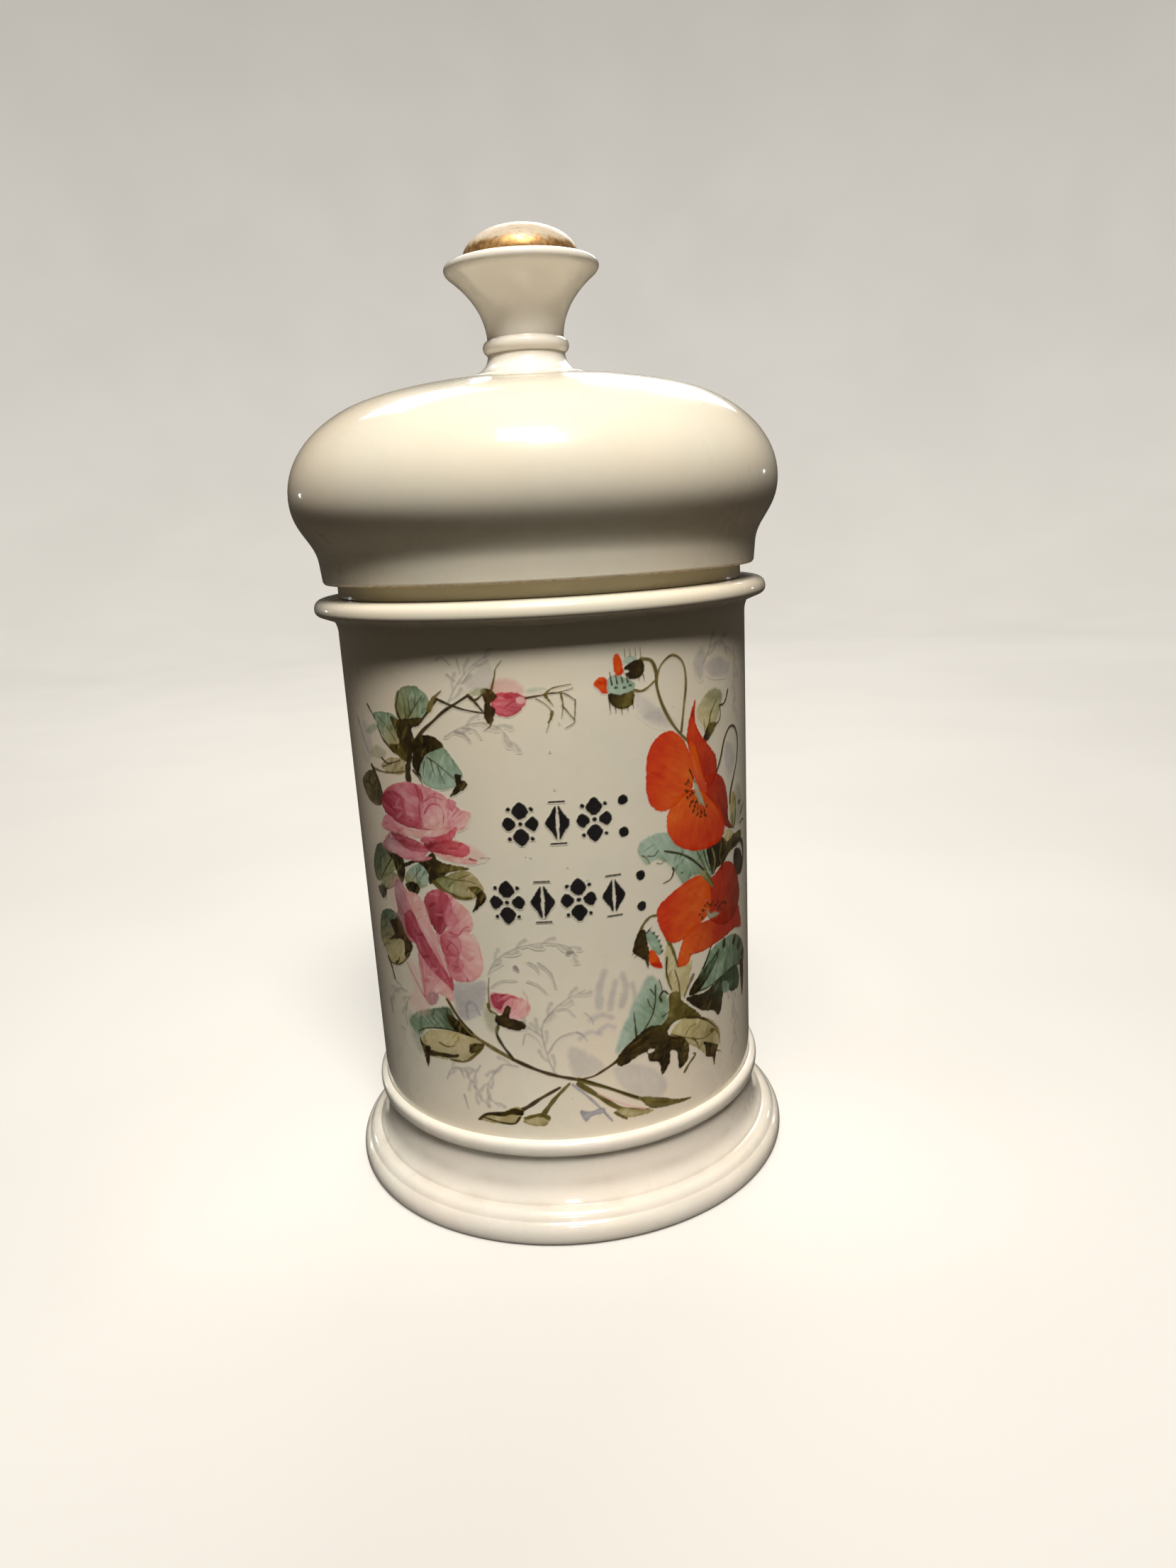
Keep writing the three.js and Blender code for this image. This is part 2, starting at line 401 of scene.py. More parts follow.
def gilding_material(name):
    """Gilding that is whole low on the boss and rubbed through to the porcelain over its crown."""
    nodes = Nodes(name)
    porcelain = glaze_colour(nodes)[0]
    low = BOSS_LOW.z * MM
    high = BOSS_HIGH.z * MM
    height = nodes.ramp(nodes.height_z(), low, high)
    patches = nodes.noise(3.2, 5.0, shift=7.0)
    scratches = nodes.noise(0.7, 3.0, stretch=(0.22, 1.4, 1.0), shift=8.0)
    rubbed = nodes.plus(nodes.times(height, 1.05), nodes.times(patches, 0.55))
    rubbed = nodes.plus(rubbed, nodes.times(scratches, 0.30))
    gold = nodes.ramp(rubbed, 0.5, 0.78, 0.95, 0.05)
    tone = nodes.mix(nodes.ramp(nodes.noise(1.4, 3.0), 0.3, 0.7), GOLD_BRIGHT, GOLD_DULL)
    stain_and_shade = nodes.mix(0.65, porcelain, RUBBED_GROUND)
    rub = nodes.ramp(nodes.noise(0.55, 4.0, stretch=(0.3, 1.3, 1.0), shift=3.0), 0.54, 0.66, 0.0, 0.6)
    stain_and_shade = nodes.mix(rub, stain_and_shade, RUB_MARK)
    colour = nodes.mix(gold, stain_and_shade, tone)
    rough = nodes.ramp(nodes.noise(1.1, 4.0, shift=2.0), 0.3, 0.7, 0.42, 0.58)
    height_map = nodes.plus(gold, nodes.times(scratches, 0.6))
    return nodes.finish(
        Base_Color=colour,
        Metallic=nodes.times(gold, 0.8),
        Roughness=rough,
        Normal=nodes.bump(height_map, 0.02),
        Coat_Weight=0.08,
        Coat_Roughness=0.1,
    )


# ---------------------------------------------------------------- the revolved pieces
def barrel_outline():
    """Closed floor, a wall that widens a little, and the flared rim with its rolled lip."""
    bore = BARREL_RADIUS - BARREL_WALL
    rim_radius = JAR_HIGH.x
    rim_top = JAR_HIGH.z
    floor_top = JAR_LOW.z + FLOOR_THICKNESS
    floor_corner, foot_chamfer, lip_corner = 6, 1, 0.9
    path = Outline(0, JAR_LOW.z)
    path.line(BARREL_RADIUS - foot_chamfer, JAR_LOW.z).line(BARREL_RADIUS, JAR_LOW.z + foot_chamfer)
    path.line(BARREL_RADIUS, BEAD_TOP_Z).line(BARREL_TOP_RADIUS, FLARE_Z)
    path.curve((BARREL_TOP_RADIUS, FLARE_Z + 2.0), (58.7, 163.6))
    path.line(rim_radius - 0.9, rim_top - 4.5)
    path.curve((rim_radius, rim_top - 4.0), (rim_radius, rim_top - 2.9))
    path.curve((rim_radius, rim_top - 0.1), (rim_radius - 3.4, rim_top))
    path.line(bore + lip_corner, rim_top).curve((bore, rim_top), (bore, rim_top - lip_corner))
    path.line(bore, floor_top + floor_corner)
    path.curve((bore, floor_top), (bore - floor_corner, floor_top))
    return path.line(0, floor_top)


def foot_outline():
    """Contact face, torus, groove, crisp step, cove and bead, and the socket that holds the barrel."""
    foot_radius = FOOT_HIGH.x
    bore = 50.0
    contact = foot_radius - 1.6
    widest_z = 2.3
    step_radius, step_z = 60.0, 9.4
    groove_radius, groove_z = 63.9, 6.3
    cove_radius = BARREL_RADIUS + 0.5
    bead_radius, bead_z, bead_bottom = 58.8, 24.5, 21.9
    socket = BARREL_RADIUS + SEAM_GAP
    socket_z = JAR_LOW.z - JOINT_GAP
    path = Outline(bore, FOOT_LOW.z).line(contact, FOOT_LOW.z)
    path.curve((foot_radius, FOOT_LOW.z), (foot_radius, widest_z))
    path.curve((foot_radius, 4.6), (groove_radius + 0.8, groove_z - 0.5), (groove_radius, groove_z))
    path.curve((groove_radius - 0.5, 7.0), (62.7, step_z - 0.8), (step_radius + 0.3, step_z - 0.5))
    path.line(step_radius, step_z)
    path.curve((cove_radius, 12), (cove_radius, bead_bottom))
    path.curve((bead_radius, bead_bottom), (bead_radius, bead_z))
    path.curve((bead_radius, BEAD_TOP_Z - 0.3), (socket + 0.3, BEAD_TOP_Z))
    path.line(socket, BEAD_TOP_Z).line(socket, socket_z).line(bore, socket_z)
    return path.line(bore, FOOT_LOW.z)


def dome_outline():
    """Short upright edge, swelling side and crown, and the hollow inside."""
    radius = DOME_HIGH.x
    edge_z, crown_z = DOME_LOW.z, DOME_HIGH.z
    edge_radius, edge_top = 60.6, 179.4
    widest_z = 196.2
    bore = FLANGE_HIGH.x + JOINT_GAP
    inner_radius, inner_crown = radius - LID_WALL, crown_z - LID_WALL
    path = Outline(bore, edge_z).line(edge_radius - 0.5, edge_z).line(edge_radius, edge_z + 0.7)
    path.line(edge_radius + 0.5, edge_top)
    path.curve((edge_radius + 1.2, 185.4), (radius, 187.6), (radius, widest_z))
    path.curve((radius, 205.6), (60.6, 213.6), (50.6, 218.4))
    path.curve((43.6, 221.5), (32, 224), (18, crown_z)).line(0, crown_z)
    path.line(0, inner_crown).line(16, inner_crown)
    path.curve((30, 220.8), (41.6, 218.2), (48.4, 214.9))
    path.curve((57.4, 210.4), (inner_radius, 204), (inner_radius, widest_z))
    path.curve((inner_radius, 189.4), (bore, 188), (bore, edge_top + 4))
    return path.line(bore, edge_z)


def flange_outline():
    """The spigot that drops into the mouth, its shoulder on the rim, and the ring inside the lid."""
    bottom, top = FLANGE_LOW.z, FLANGE_HIGH.z
    seat_radius, spigot, bore = FLANGE_HIGH.x, 51.9, 48.4
    seat_z = JAR_HIGH.z + SEAM_GAP
    path = Outline(bore, bottom).line(spigot - 1, bottom)
    path.curve((spigot, bottom), (spigot, bottom + 1.4)).line(spigot, seat_z)
    path.line(seat_radius, seat_z).line(seat_radius, top).line(bore + 2.6, top)
    path.curve((bore, top - 2), (bore, top - 6))
    return path.line(bore, bottom)


def knob_outline():
    """Foot flange, neck, bead, waist and trumpet, with a flat top for the boss."""
    bottom, top = KNOB_LOW.z, KNOB_HIGH.z
    rim_radius, rim_z = KNOB_HIGH.x, 253.4
    flange, neck, bead, waist = 17.4, 10.6, 11.8, 10.4
    bead_z = 233.7
    path = Outline(0, bottom).line(flange, bottom).line(flange - 0.4, bottom + 0.7)
    path.curve((neck, 227.4), (neck, bead_z - 1.9))
    path.curve((bead, bead_z - 1.2), (bead, bead_z))
    path.curve((bead, bead_z + 1.2), (waist, bead_z + 1.9))
    path.curve((neck, 242.6), (15, 247.8), (19.2, 251.2))
    path.curve((rim_radius, 252.4), (rim_radius, rim_z))
    path.curve((rim_radius, 254.8), (18.8, 255.1))
    return path.line(BOSS_HIGH.x + 0.4, top).line(0, top)


def boss_outline():
    radius = BOSS_HIGH.x
    path = Outline(0, BOSS_LOW.z).line(radius, BOSS_LOW.z)
    return path.curve((radius - 0.3, 261), (8.4, BOSS_HIGH.z), (0, BOSS_HIGH.z))


def place(piece, body, slot, material, *nodes):
    piece.data.materials.append(material)
    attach(piece, body)
    if nodes:
        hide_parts(*nodes)
    return piece


place(
    revolved("glazed_barrel", barrel_outline()),
    "jar",
    "jar_porcelain",
    glazed_material("barrel_glaze"),
    "jar_barrel",
)
place(
    revolved("glazed_foot", foot_outline()),
    "jar",
    "foot_porcelain",
    # tint=1.2 deepens the brown painted shade in the foot's creases, mostly under the bead.
    glazed_material("foot_glaze", bare_below=0.7, tint=1.2, cool=0.3),
    "foot_ring",
)
place(
    revolved("glazed_dome", dome_outline()),
    "lid",
    "lid_porcelain",
    glazed_material("dome_glaze", bare_below=DOME_LOW.z + 0.3),
    "lid_dome",
)
place(
    revolved("lid_flange_glaze", flange_outline(), corner=0.12),
    "lid",
    "lid_flange_porcelain",
    flange_material("flange_glaze"),
    "lid_flange",
)
place(
    revolved("glazed_knob", knob_outline()),
    "lid",
    "knob_porcelain",
    glazed_material("knob_glaze", cool=0.45),
    "knob",
)
place(revolved("gilded_boss", boss_outline()), "lid", "worn_gilding", gilding_material("worn_gold"),
      "gilt_boss")


# ---------------------------------------------------------------- the painting
CELL = 0.22
GOLDEN_TURN = math.pi * (3 - math.sqrt(5))
PAINT_LEFT, PAINT_RIGHT = -69.0, 70.0
PAINT_LOW, PAINT_HIGH = 30.0, 158.6

# Enamel colours, as they show on a display.
CRIMSON = display(158, 56, 72)
ROSE = display(190, 90, 104)
PINK = display(214, 140, 148)
BLUSH = display(226, 178, 170)
CORAL = display(204, 88, 98)
MAUVE = display(176, 128, 132)
POPPY = display(204, 52, 0)
POPPY_DEEP = display(178, 40, 0)
POPPY_LIGHT = display(220, 88, 16)
POPPY_SHADE = display(140, 32, 4)
TEAL = display(128, 152, 124)
TEAL_PALE = display(158, 180, 160)
TEAL_DARK = display(74, 92, 66)
SAGE = display(140, 142, 96)
OLIVE = display(98, 86, 34)
OLIVE_DARK = display(50, 38, 8)
BROWN = display(66, 46, 16)
STEM = display(112, 96, 48)
STRAW = display(192, 178, 124)
CREAM_LEAF = display(172, 158, 112)
SHADOW = display(152, 146, 140)
LILAC = display(152, 148, 156)
SEED = display(176, 172, 146)
INK = display(16, 14, 18)


def smooth_line(points, closed=False, steps=8):
    """A curve through all the points (Catmull-Rom)."""
    points = np.array(points, float)
    if closed:
        held = np.vstack([points[-1], points, points[:2]])
    else:
        held = np.vstack([2 * points[0] - points[1], points, 2 * points[-1] - points[-2]])
    t = np.linspace(0, 1, steps, endpoint=False)[:, None]
    parts = []
    for a, b, c, d in zip(held, held[1:], held[2:], held[3:]):
        bend = 2 * a - 5 * b + 4 * c - d
        swing = 3 * b - a - 3 * c + d
        parts.append(0.5 * (2 * b + (c - a) * t + bend * t**2 + swing * t**3))
    if not closed:
        parts.append(points[-1:])
    return np.vstack(parts)


def nearest_on_segments(places, starts, ends):
    """For each place and each segment: the share along it of its nearest point, and the distance there."""
    span = ends - starts
    away = places[..., None, :] - starts
    along = (away * span).sum(-1) / np.maximum((span**2).sum(-1), 1e-12)
    along = np.clip(along, 0, 1)
    return along, np.sqrt(((away - along[..., None] * span) ** 2).sum(-1))


def depth_inside(places, outline):
    """Distance to a closed outline, positive inside it."""
    starts, ends = outline, np.roll(outline, -1, 0)
    distance = nearest_on_segments(places, starts, ends)[1].min(-1)
    s, z = places[..., 0, None], places[..., 1, None]
    straddles = (starts[:, 1] > z) != (ends[:, 1] > z)
    rise = np.where(ends[:, 1] == starts[:, 1], 1e-9, ends[:, 1] - starts[:, 1])
    crossing = s < (ends[:, 0] - starts[:, 0]) * (z - starts[:, 1]) / rise + starts[:, 0]
    inside = (straddles & crossing).sum(-1) % 2 == 1
    return np.where(inside, distance, -distance)


def eased(value, low, high):
    t = np.clip((value - low) / (high - low), 0, 1)
    return t * t * (3 - 2 * t)


def mottle(u, v, seed):
    """Smooth random values from -1 to 1, with lumps one unit across."""
    side = 64
    table = np.random.default_rng(ORIGIN_SEED + seed).random((side, side)) * 2 - 1
    i, j = np.floor(u).astype(int), np.floor(v).astype(int)
    a, b = eased(u - i, 0, 1), eased(v - j, 0, 1)
    corner = [[table[(j + dj) % side, (i + di) % side] for di in (0, 1)] for dj in (0, 1)]
    low = corner[0][0] * (1 - a) + corner[0][1] * a
    high = corner[1][0] * (1 - a) + corner[1][1] * a
    return low * (1 - b) + high * b


class Painting:
    """Enamel on a fine grid over the barrel's unrolled side: its colour, its cover and its thickness."""

    def __init__(self):
        self.s = np.arange(PAINT_LEFT, PAINT_RIGHT, CELL)
        self.z = np.arange(PAINT_LOW, PAINT_HIGH, CELL)
        shape = (len(self.z), len(self.s))
        self.colour = np.zeros((*shape, 3))
        self.cover = np.zeros(shape)
        self.body = np.zeros(shape)
        self.layer = 0

    def window(self, points, margin):
        low, high = points.min(0) - margin, points.max(0) + margin
        columns = slice(*np.searchsorted(self.s, (low[0], high[0])))
        rows = slice(*np.searchsorted(self.z, (low[1], high[1])))
        places = np.stack(np.meshgrid(self.s[columns], self.z[rows]), -1)
        return (rows, columns), places

    def lay(self, window, colour, share):
        share = np.clip(share, 0, 1)
        k = share[..., None]
        self.colour[window] = self.colour[window] * (1 - k) + colour * k
        self.cover[window] = self.cover[window] * (1 - share) + share
        self.body[window] = np.maximum(self.body[window] * (1 - 0.5 * share), share)

    def density(self, places, amount):
        """How thickly a hand-laid wash lies, about 1: broad lumps, fine lumps and the drag of the brush."""
        self.layer += 1
        s, z = places[..., 0], places[..., 1]
        lean = self.layer * GOLDEN_TURN
        drag = s * math.cos(lean) + z * math.sin(lean), z * math.cos(lean) - s * math.sin(lean)
        broad = mottle(s / 2.6, z / 2.6, self.layer)
        fine = mottle(s / 0.75, z / 0.75, self.layer + 500)
        brushed = mottle(drag[0] / 3.4, drag[1] / 0.7, self.layer + 700)
        return 1 + amount * (0.8 * broad + 0.35 * fine + 0.55 * brushed)

    def wash(self, outline, colour, to=None, along=None, edge=0.16, strength=0.98, pool=0.2,
             root=None, streak=0.22, grain=0.26, marks=0, lean=0.0):
        """A filled shape, darker where the paint pools at its edge.

        Its colour may run from one to another along a line, with streaks that fan out from a root.
        """
        outline = smooth_line(outline, closed=True)
        window, places = self.window(outline, edge + CELL)
        if 0 in places.shape:
            return
        depth = depth_inside(places, outline)
        density = self.density(places, grain) + pool * np.exp(-((np.maximum(depth, 0) / 0.5) ** 2))
        ragged = min(edge, 0.2) * mottle(places[..., 0] / 0.6, places[..., 1] / 0.6, self.layer + 300)
        if root is not None:
            away = places - np.array(root, float)
            angle = np.arctan2(away[..., 1], away[..., 0])
            distance = np.hypot(away[..., 0], away[..., 1])
            streaks = mottle(angle * 7, distance / 8, self.layer + 900) + mottle(angle * 18, distance / 5,
                                                                                 self.layer)
            density = density + streak * streaks
        base = np.array(colour, float)
        if to is not None:
            start, end = (np.array(p, float) for p in along)
            span = end - start
            share = eased(((places - start) @ span) / (span @ span), 0, 1)[..., None]
            base = base * (1 - share) + np.array(to, float) * share
        film = np.clip(base, 0.001, 1) ** density[..., None]
        inside = strength * eased(depth + ragged, -edge, edge)
        self.lay(window, film, inside)
        if marks:
            self.brush_marks(window, places, inside, base, marks, lean)

    def brush_marks(self, window, places, inside, base, count, lean):
        """Short tapered touches within a shape, some thicker and darker than the wash, some wiped thinner."""
        random = np.random.default_rng(ORIGIN_SEED + 31 * self.layer)
        spots = places[inside > 0.5]
        if not len(spots):
            return
        for _ in range(count):
            s, z = spots[random.integers(len(spots))]
            turn = lean + random.normal(0, 0.28)
            reach = random.uniform(0.9, 2.4)
            width = random.uniform(0.22, 0.6)
            ahead = places - (s, z)
            along = (ahead[..., 0] * math.cos(turn) + ahead[..., 1] * math.sin(turn)) / reach
            across = ahead[..., 1] * math.cos(turn) - ahead[..., 0] * math.sin(turn)
            across = np.abs(across + 0.2 * along**2)
            taper = np.clip(1 - along**2, 0, 1)
            touch = eased(width * taper - across, -0.12, 0.16) * (np.abs(along) < 1)
            power = 1.75 if random.random() < 0.62 else 0.6
            self.lay(window, np.clip(base, 0.001, 1) ** power, 0.6 * touch * inside)

    def stroke(self, points, width, colour, to_width=None, strength=0.98, soft=0.14, steps=6):
        """A brush line whose width goes from one value to another."""
        line = smooth_line(points, steps=steps)
        to_width = width if to_width is None else to_width
        window, places = self.window(line, max(width, to_width) / 2 + soft + CELL)
        if 0 in places.shape:
            return
        run = np.linspace(0, 1, len(line))
        half = 0.5 * (width + (to_width - width) * run) * (0.88 + 0.12 * np.cos(run * 17 + len(points)))
        along, distance = nearest_on_segments(places, line[:-1], line[1:])
        beyond = (distance - (half[:-1] + (half[1:] - half[:-1]) * along)).min(-1)
        film = np.clip(np.array(colour, float), 0.001, 1) ** self.density(places, 0.18)[..., None]
        self.lay(window, film, strength * eased(-beyond, -soft, soft))

    def dab(self, s, z, radius, colour, strength=0.9, lean=0.0):
        """One touch of the brush tip: a small, slightly drawn-out dot."""
        reach = (radius * math.cos(lean), radius * math.sin(lean))
        self.stroke([(s - 0.4 * reach[0], z - 0.4 * reach[1]), (s + reach[0], z + reach[1])], 2 * radius,
                    colour, to_width=radius, strength=strength, soft=0.12)

    def leaf(self, base, bend, tip, width, upper, lower, vein=OLIVE_DARK, teeth=0, veins=4, strength=0.9,
             hook=0.0):
        """A leaf about a curved midrib: a light half, a dark half, side veins and a toothed edge."""
        middle = np.vstack([base, bezier([base, bend, tip], 20)])
        run = np.linspace(0, 1, len(middle))
        ahead = np.gradient(middle, axis=0)
        across = np.stack([-ahead[:, 1], ahead[:, 0]], 1) / np.linalg.norm(ahead, axis=1)[:, None]
        notches = 0.16 * ((run * teeth) % 1.0 - 0.5) if teeth else 0
        swell = np.sin(np.pi * run**0.85) ** 0.8 * (1 + notches)
        half = 0.5 * width * swell[:, None]
        for side, colour in ((1, upper), (-1, lower)):
            edge = middle + side * across * half
            outline = np.vstack([edge, middle[-2:0:-1]])
            self.wash(outline[::2], colour, strength=strength, pool=0.22)
        for i in range(veins):
            start = int((0.12 + 0.7 * i / max(veins, 1)) * (len(middle) - 1))
            end = min(start + 4, len(middle) - 1)
            for side in (1, -1):
                reach = middle[end] + side * across[end] * half[end] * 0.72
                self.stroke([middle[start], 0.5 * (middle[start] + reach) + 0.1 * ahead[start], reach],
                            0.30, vein, to_width=0.10, strength=0.6)
        self.stroke(middle[::4], 0.42, vein, to_width=0.22, strength=0.85)
        if hook:
            beyond = middle[-1] + ahead[-1] / np.linalg.norm(ahead[-1]) * hook
            self.stroke([middle[-5], middle[-1], beyond], 1.3, vein, to_width=0.25, strength=0.92)


def frond(art, points, leaflets, reach, width=0.62):
    """A soft grey stem with long drawn-out leaflets to either side, which lie close to the stem."""
    art.stroke(points, width, SHADOW, to_width=0.6 * width, strength=0.6, soft=0.3)
    line = smooth_line(points)
    ahead = np.gradient(line, axis=0)
    for i in range(leaflets):
        k = int((i + 0.8) / (leaflets + 0.3) * (len(line) - 1))
        side = 1 if i % 2 else -1
        turn = math.atan2(ahead[k, 1], ahead[k, 0]) + 0.55 * side
        size = 1.5 * reach * (1 - 0.3 * i / leaflets)
        along = np.array((math.cos(turn), math.sin(turn)))
        across = side * np.array((-along[1], along[0]))
        root = line[k] + 0.12 * size * along
        tip = root + size * along - 0.2 * size * across
        middle = root + 0.5 * size * along
        art.stroke([root, middle, tip], 0.6, SHADOW, to_width=1.15, strength=0.5, soft=0.45)


# Brush settings that the washes of one kind share.
ROSE_PETAL = {"streak": 0.15, "grain": 0.16}
PETAL_TOUCHES = {"marks": 4, "lean": 0.5}
POPPY_PETAL = {"streak": 0.05, "grain": 0.13}
ROSE_LEAF = {"marks": 9, "lean": 1.1}
POPPY_LEAF = {"marks": 10, "lean": 0.9}


def shadow_sprays(art):
    """Thin grey sprays and pale lilac washes behind the flowers."""
    wash, stroke, dab = art.wash, art.stroke, art.dab
    washes = (
        ([(0, 53), (4, 52), (9, 47), (5, 44.8), (0.5, 45.5)], 0.34),
        ([(12, 46), (20, 45), (27, 38.5), (25, 34), (18, 36), (13, 41)], 0.32),
        ([(22, 145.5), (26, 142.5), (31, 137), (26, 138), (22.5, 140)], 0.30),
        ([(24, 139), (29, 140.5), (34, 135.5), (28, 136)], 0.26),
        ([(45, 149), (50, 151), (57, 148), (55, 145.5), (48, 146)], 0.5),
        ([(40, 150), (43, 154), (45, 152), (43, 146)], 0.42),
        ([(54, 127), (58, 126), (60, 121), (57, 118), (54, 121)], 0.42),
        ([(-31, 69.5), (-26, 70.8), (-20.8, 71.5), (-22, 65), (-25, 61), (-30, 60.5)], 0.62),
        ([(-20, 150), (-16, 153.8), (-13.2, 154.4), (-12.8, 150), (-14.6, 147.8), (-18.5, 148.4)], 0.30),
        ([(-62, 134), (-57, 139), (-54, 133), (-57, 127), (-61, 128)], 0.30),
    )
    for outline, strength in washes:
        wash(outline, LILAC, edge=0.9, strength=strength, pool=0.05)
    drags = (
        ([(8.6, 64), (8.8, 69), (10.4, 73.6)], 2.6),
        ([(11.4, 63), (12.2, 67), (13.2, 70.4)], 2.2),
        ([(14.6, 63.4), (16, 68), (15.2, 72)], 2.4),
        ([(17.6, 61), (18.4, 65), (17.8, 69)], 1.6),
        ([(6, 60.6), (9, 61.6), (12, 60.4)], 1.8),
        ([(8, 57), (10.4, 58.4), (12.4, 57.6)], 1.6),
        ([(3, 55.6), (5.6, 57.2), (8.6, 56.2)], 1.4),
    )
    for points, width in drags:
        stroke(points, width, LILAC, to_width=0.7 * width, strength=0.42, soft=0.7)
    arcs = (
        ([(-6, 61.2), (-3, 64), (0, 64.3), (2.2, 62)], 0.45),
        ([(4.6, 62.8), (6.2, 61.2), (6.8, 59.2)], 0.5),
        ([(-5.4, 52), (-3, 55.6), (0, 57.2), (3, 57.3), (5, 54.8)], 0.6),
        ([(2.4, 57.4), (3.8, 56.6)], 0.7),
        ([(-12, 54.5), (-11, 57.6), (-8.4, 56.2), (-7, 53.6)], 0.45),
        ([(-19.4, 70.5), (-16.5, 72.3), (-12.6, 72.6)], 0.5),
        ([(-9.6, 72.5), (-7, 71.4), (-4.9, 69.2)], 0.5),
        ([(-18, 76.6), (-16, 77)], 0.5),
        ([(-9, 77.6), (-7.4, 76.6), (-6.5, 75)], 0.7),
        ([(-6.5, 77.4), (-3.6, 74.6), (-2.4, 70.6)], 0.8),
        ([(-30.5, 37.4), (-29.6, 33.6)], 0.9),
        ([(-31, 45), (-30, 42.6)], 0.8),
        ([(-23.6, 138), (-21.4, 137.4), (-19.8, 135.8)], 1.1),
        ([(-21.6, 138.9), (-18.6, 138.6), (-16.8, 136.4)], 0.6),
        ([(-20.6, 150), (-18, 153.2), (-15.4, 154.6)], 0.5),
        ([(-24.6, 152.2), (-22.6, 150.6)], 0.8),
        ([(-27.4, 155.8), (-25.6, 156.4), (-23.6, 154.6)], 0.7),
        ([(-21.6, 156), (-21, 152.4)], 0.5),
        ([(-60, 57.8), (-60.2, 53.6)], 1.2),
        ([(-52.6, 50.8), (-55, 51.2)], 0.8),
        ([(-62, 139), (-60, 135), (-57, 130)], 1.3),
    )
    for points, width in arcs:
        stroke(points, width, SHADOW, to_width=0.5 * width, strength=0.7, soft=0.24)
    fronds = (
        ([(-14, 48), (-18, 48.2), (-20.6, 45.4), (-22.6, 42), (-23, 38.6), (-20, 35.6)], 8, 2.4),
        ([(-24.6, 47.2), (-26.8, 43.5), (-26.8, 40), (-25, 36.4)], 6, 2.4),
        ([(-36, 41), (-34, 44.4), (-30.5, 45.4), (-28.4, 44)], 5, 2.2),
        ([(-26.6, 136.6), (-22.6, 138.8), (-17, 140.3), (-13, 139.4), (-10.6, 137.2), (-9.2, 134)], 6, 2.6),
        ([(-25.8, 143.5), (-23.6, 147.5), (-21.4, 150.6), (-17.6, 154.4), (-13, 157)], 6, 2.8),
        ([(-49.5, 63.5), (-54, 63), (-58, 60), (-60, 55.5)], 6, 2.2),
        ([(-47.6, 62.5), (-50.6, 59.4), (-52, 54.4)], 4, 2.0),
        ([(-20, 74), (-17.5, 78), (-12, 81.4), (-5, 82.8), (1, 81.6), (3.6, 78.6)], 9, 2.2),
        ([(-3.6, 45), (-5.4, 50), (-6.8, 58), (-5, 62.5), (0, 66.8), (5.2, 69.2)], 9, 2.6),
        ([(-6.6, 56.6), (-11, 60.4), (-12.4, 65)], 5, 2.0),
        ([(44, 150), (48, 154), (53, 154.6), (56, 152)], 6, 2.6),
        ([(60.5, 151), (61.6, 146), (60.4, 140), (61.4, 134)], 6, 2.6),
        ([(52, 60), (56.4, 52), (58, 44), (57, 37)], 7, 2.8),
    )
    for points, leaflets, reach in fronds:
        frond(art, points, leaflets, reach)
    stroke([(0.4, 42.6), (4, 39), (7.5, 34.8), (10.5, 30.6)], 0.9, LILAC, to_width=0.7, strength=0.85)
    wash([(2, 34.6), (5, 34.2), (8, 35), (8.6, 33.4), (5, 32.8), (3.4, 31.2)], LILAC, strength=0.85)
    for s, z, lean in ((-12.4, 76, -0.9), (1.6, 79.8, 0.1)):
        dab(s, z, 0.75, SHADOW, strength=0.96, lean=lean)


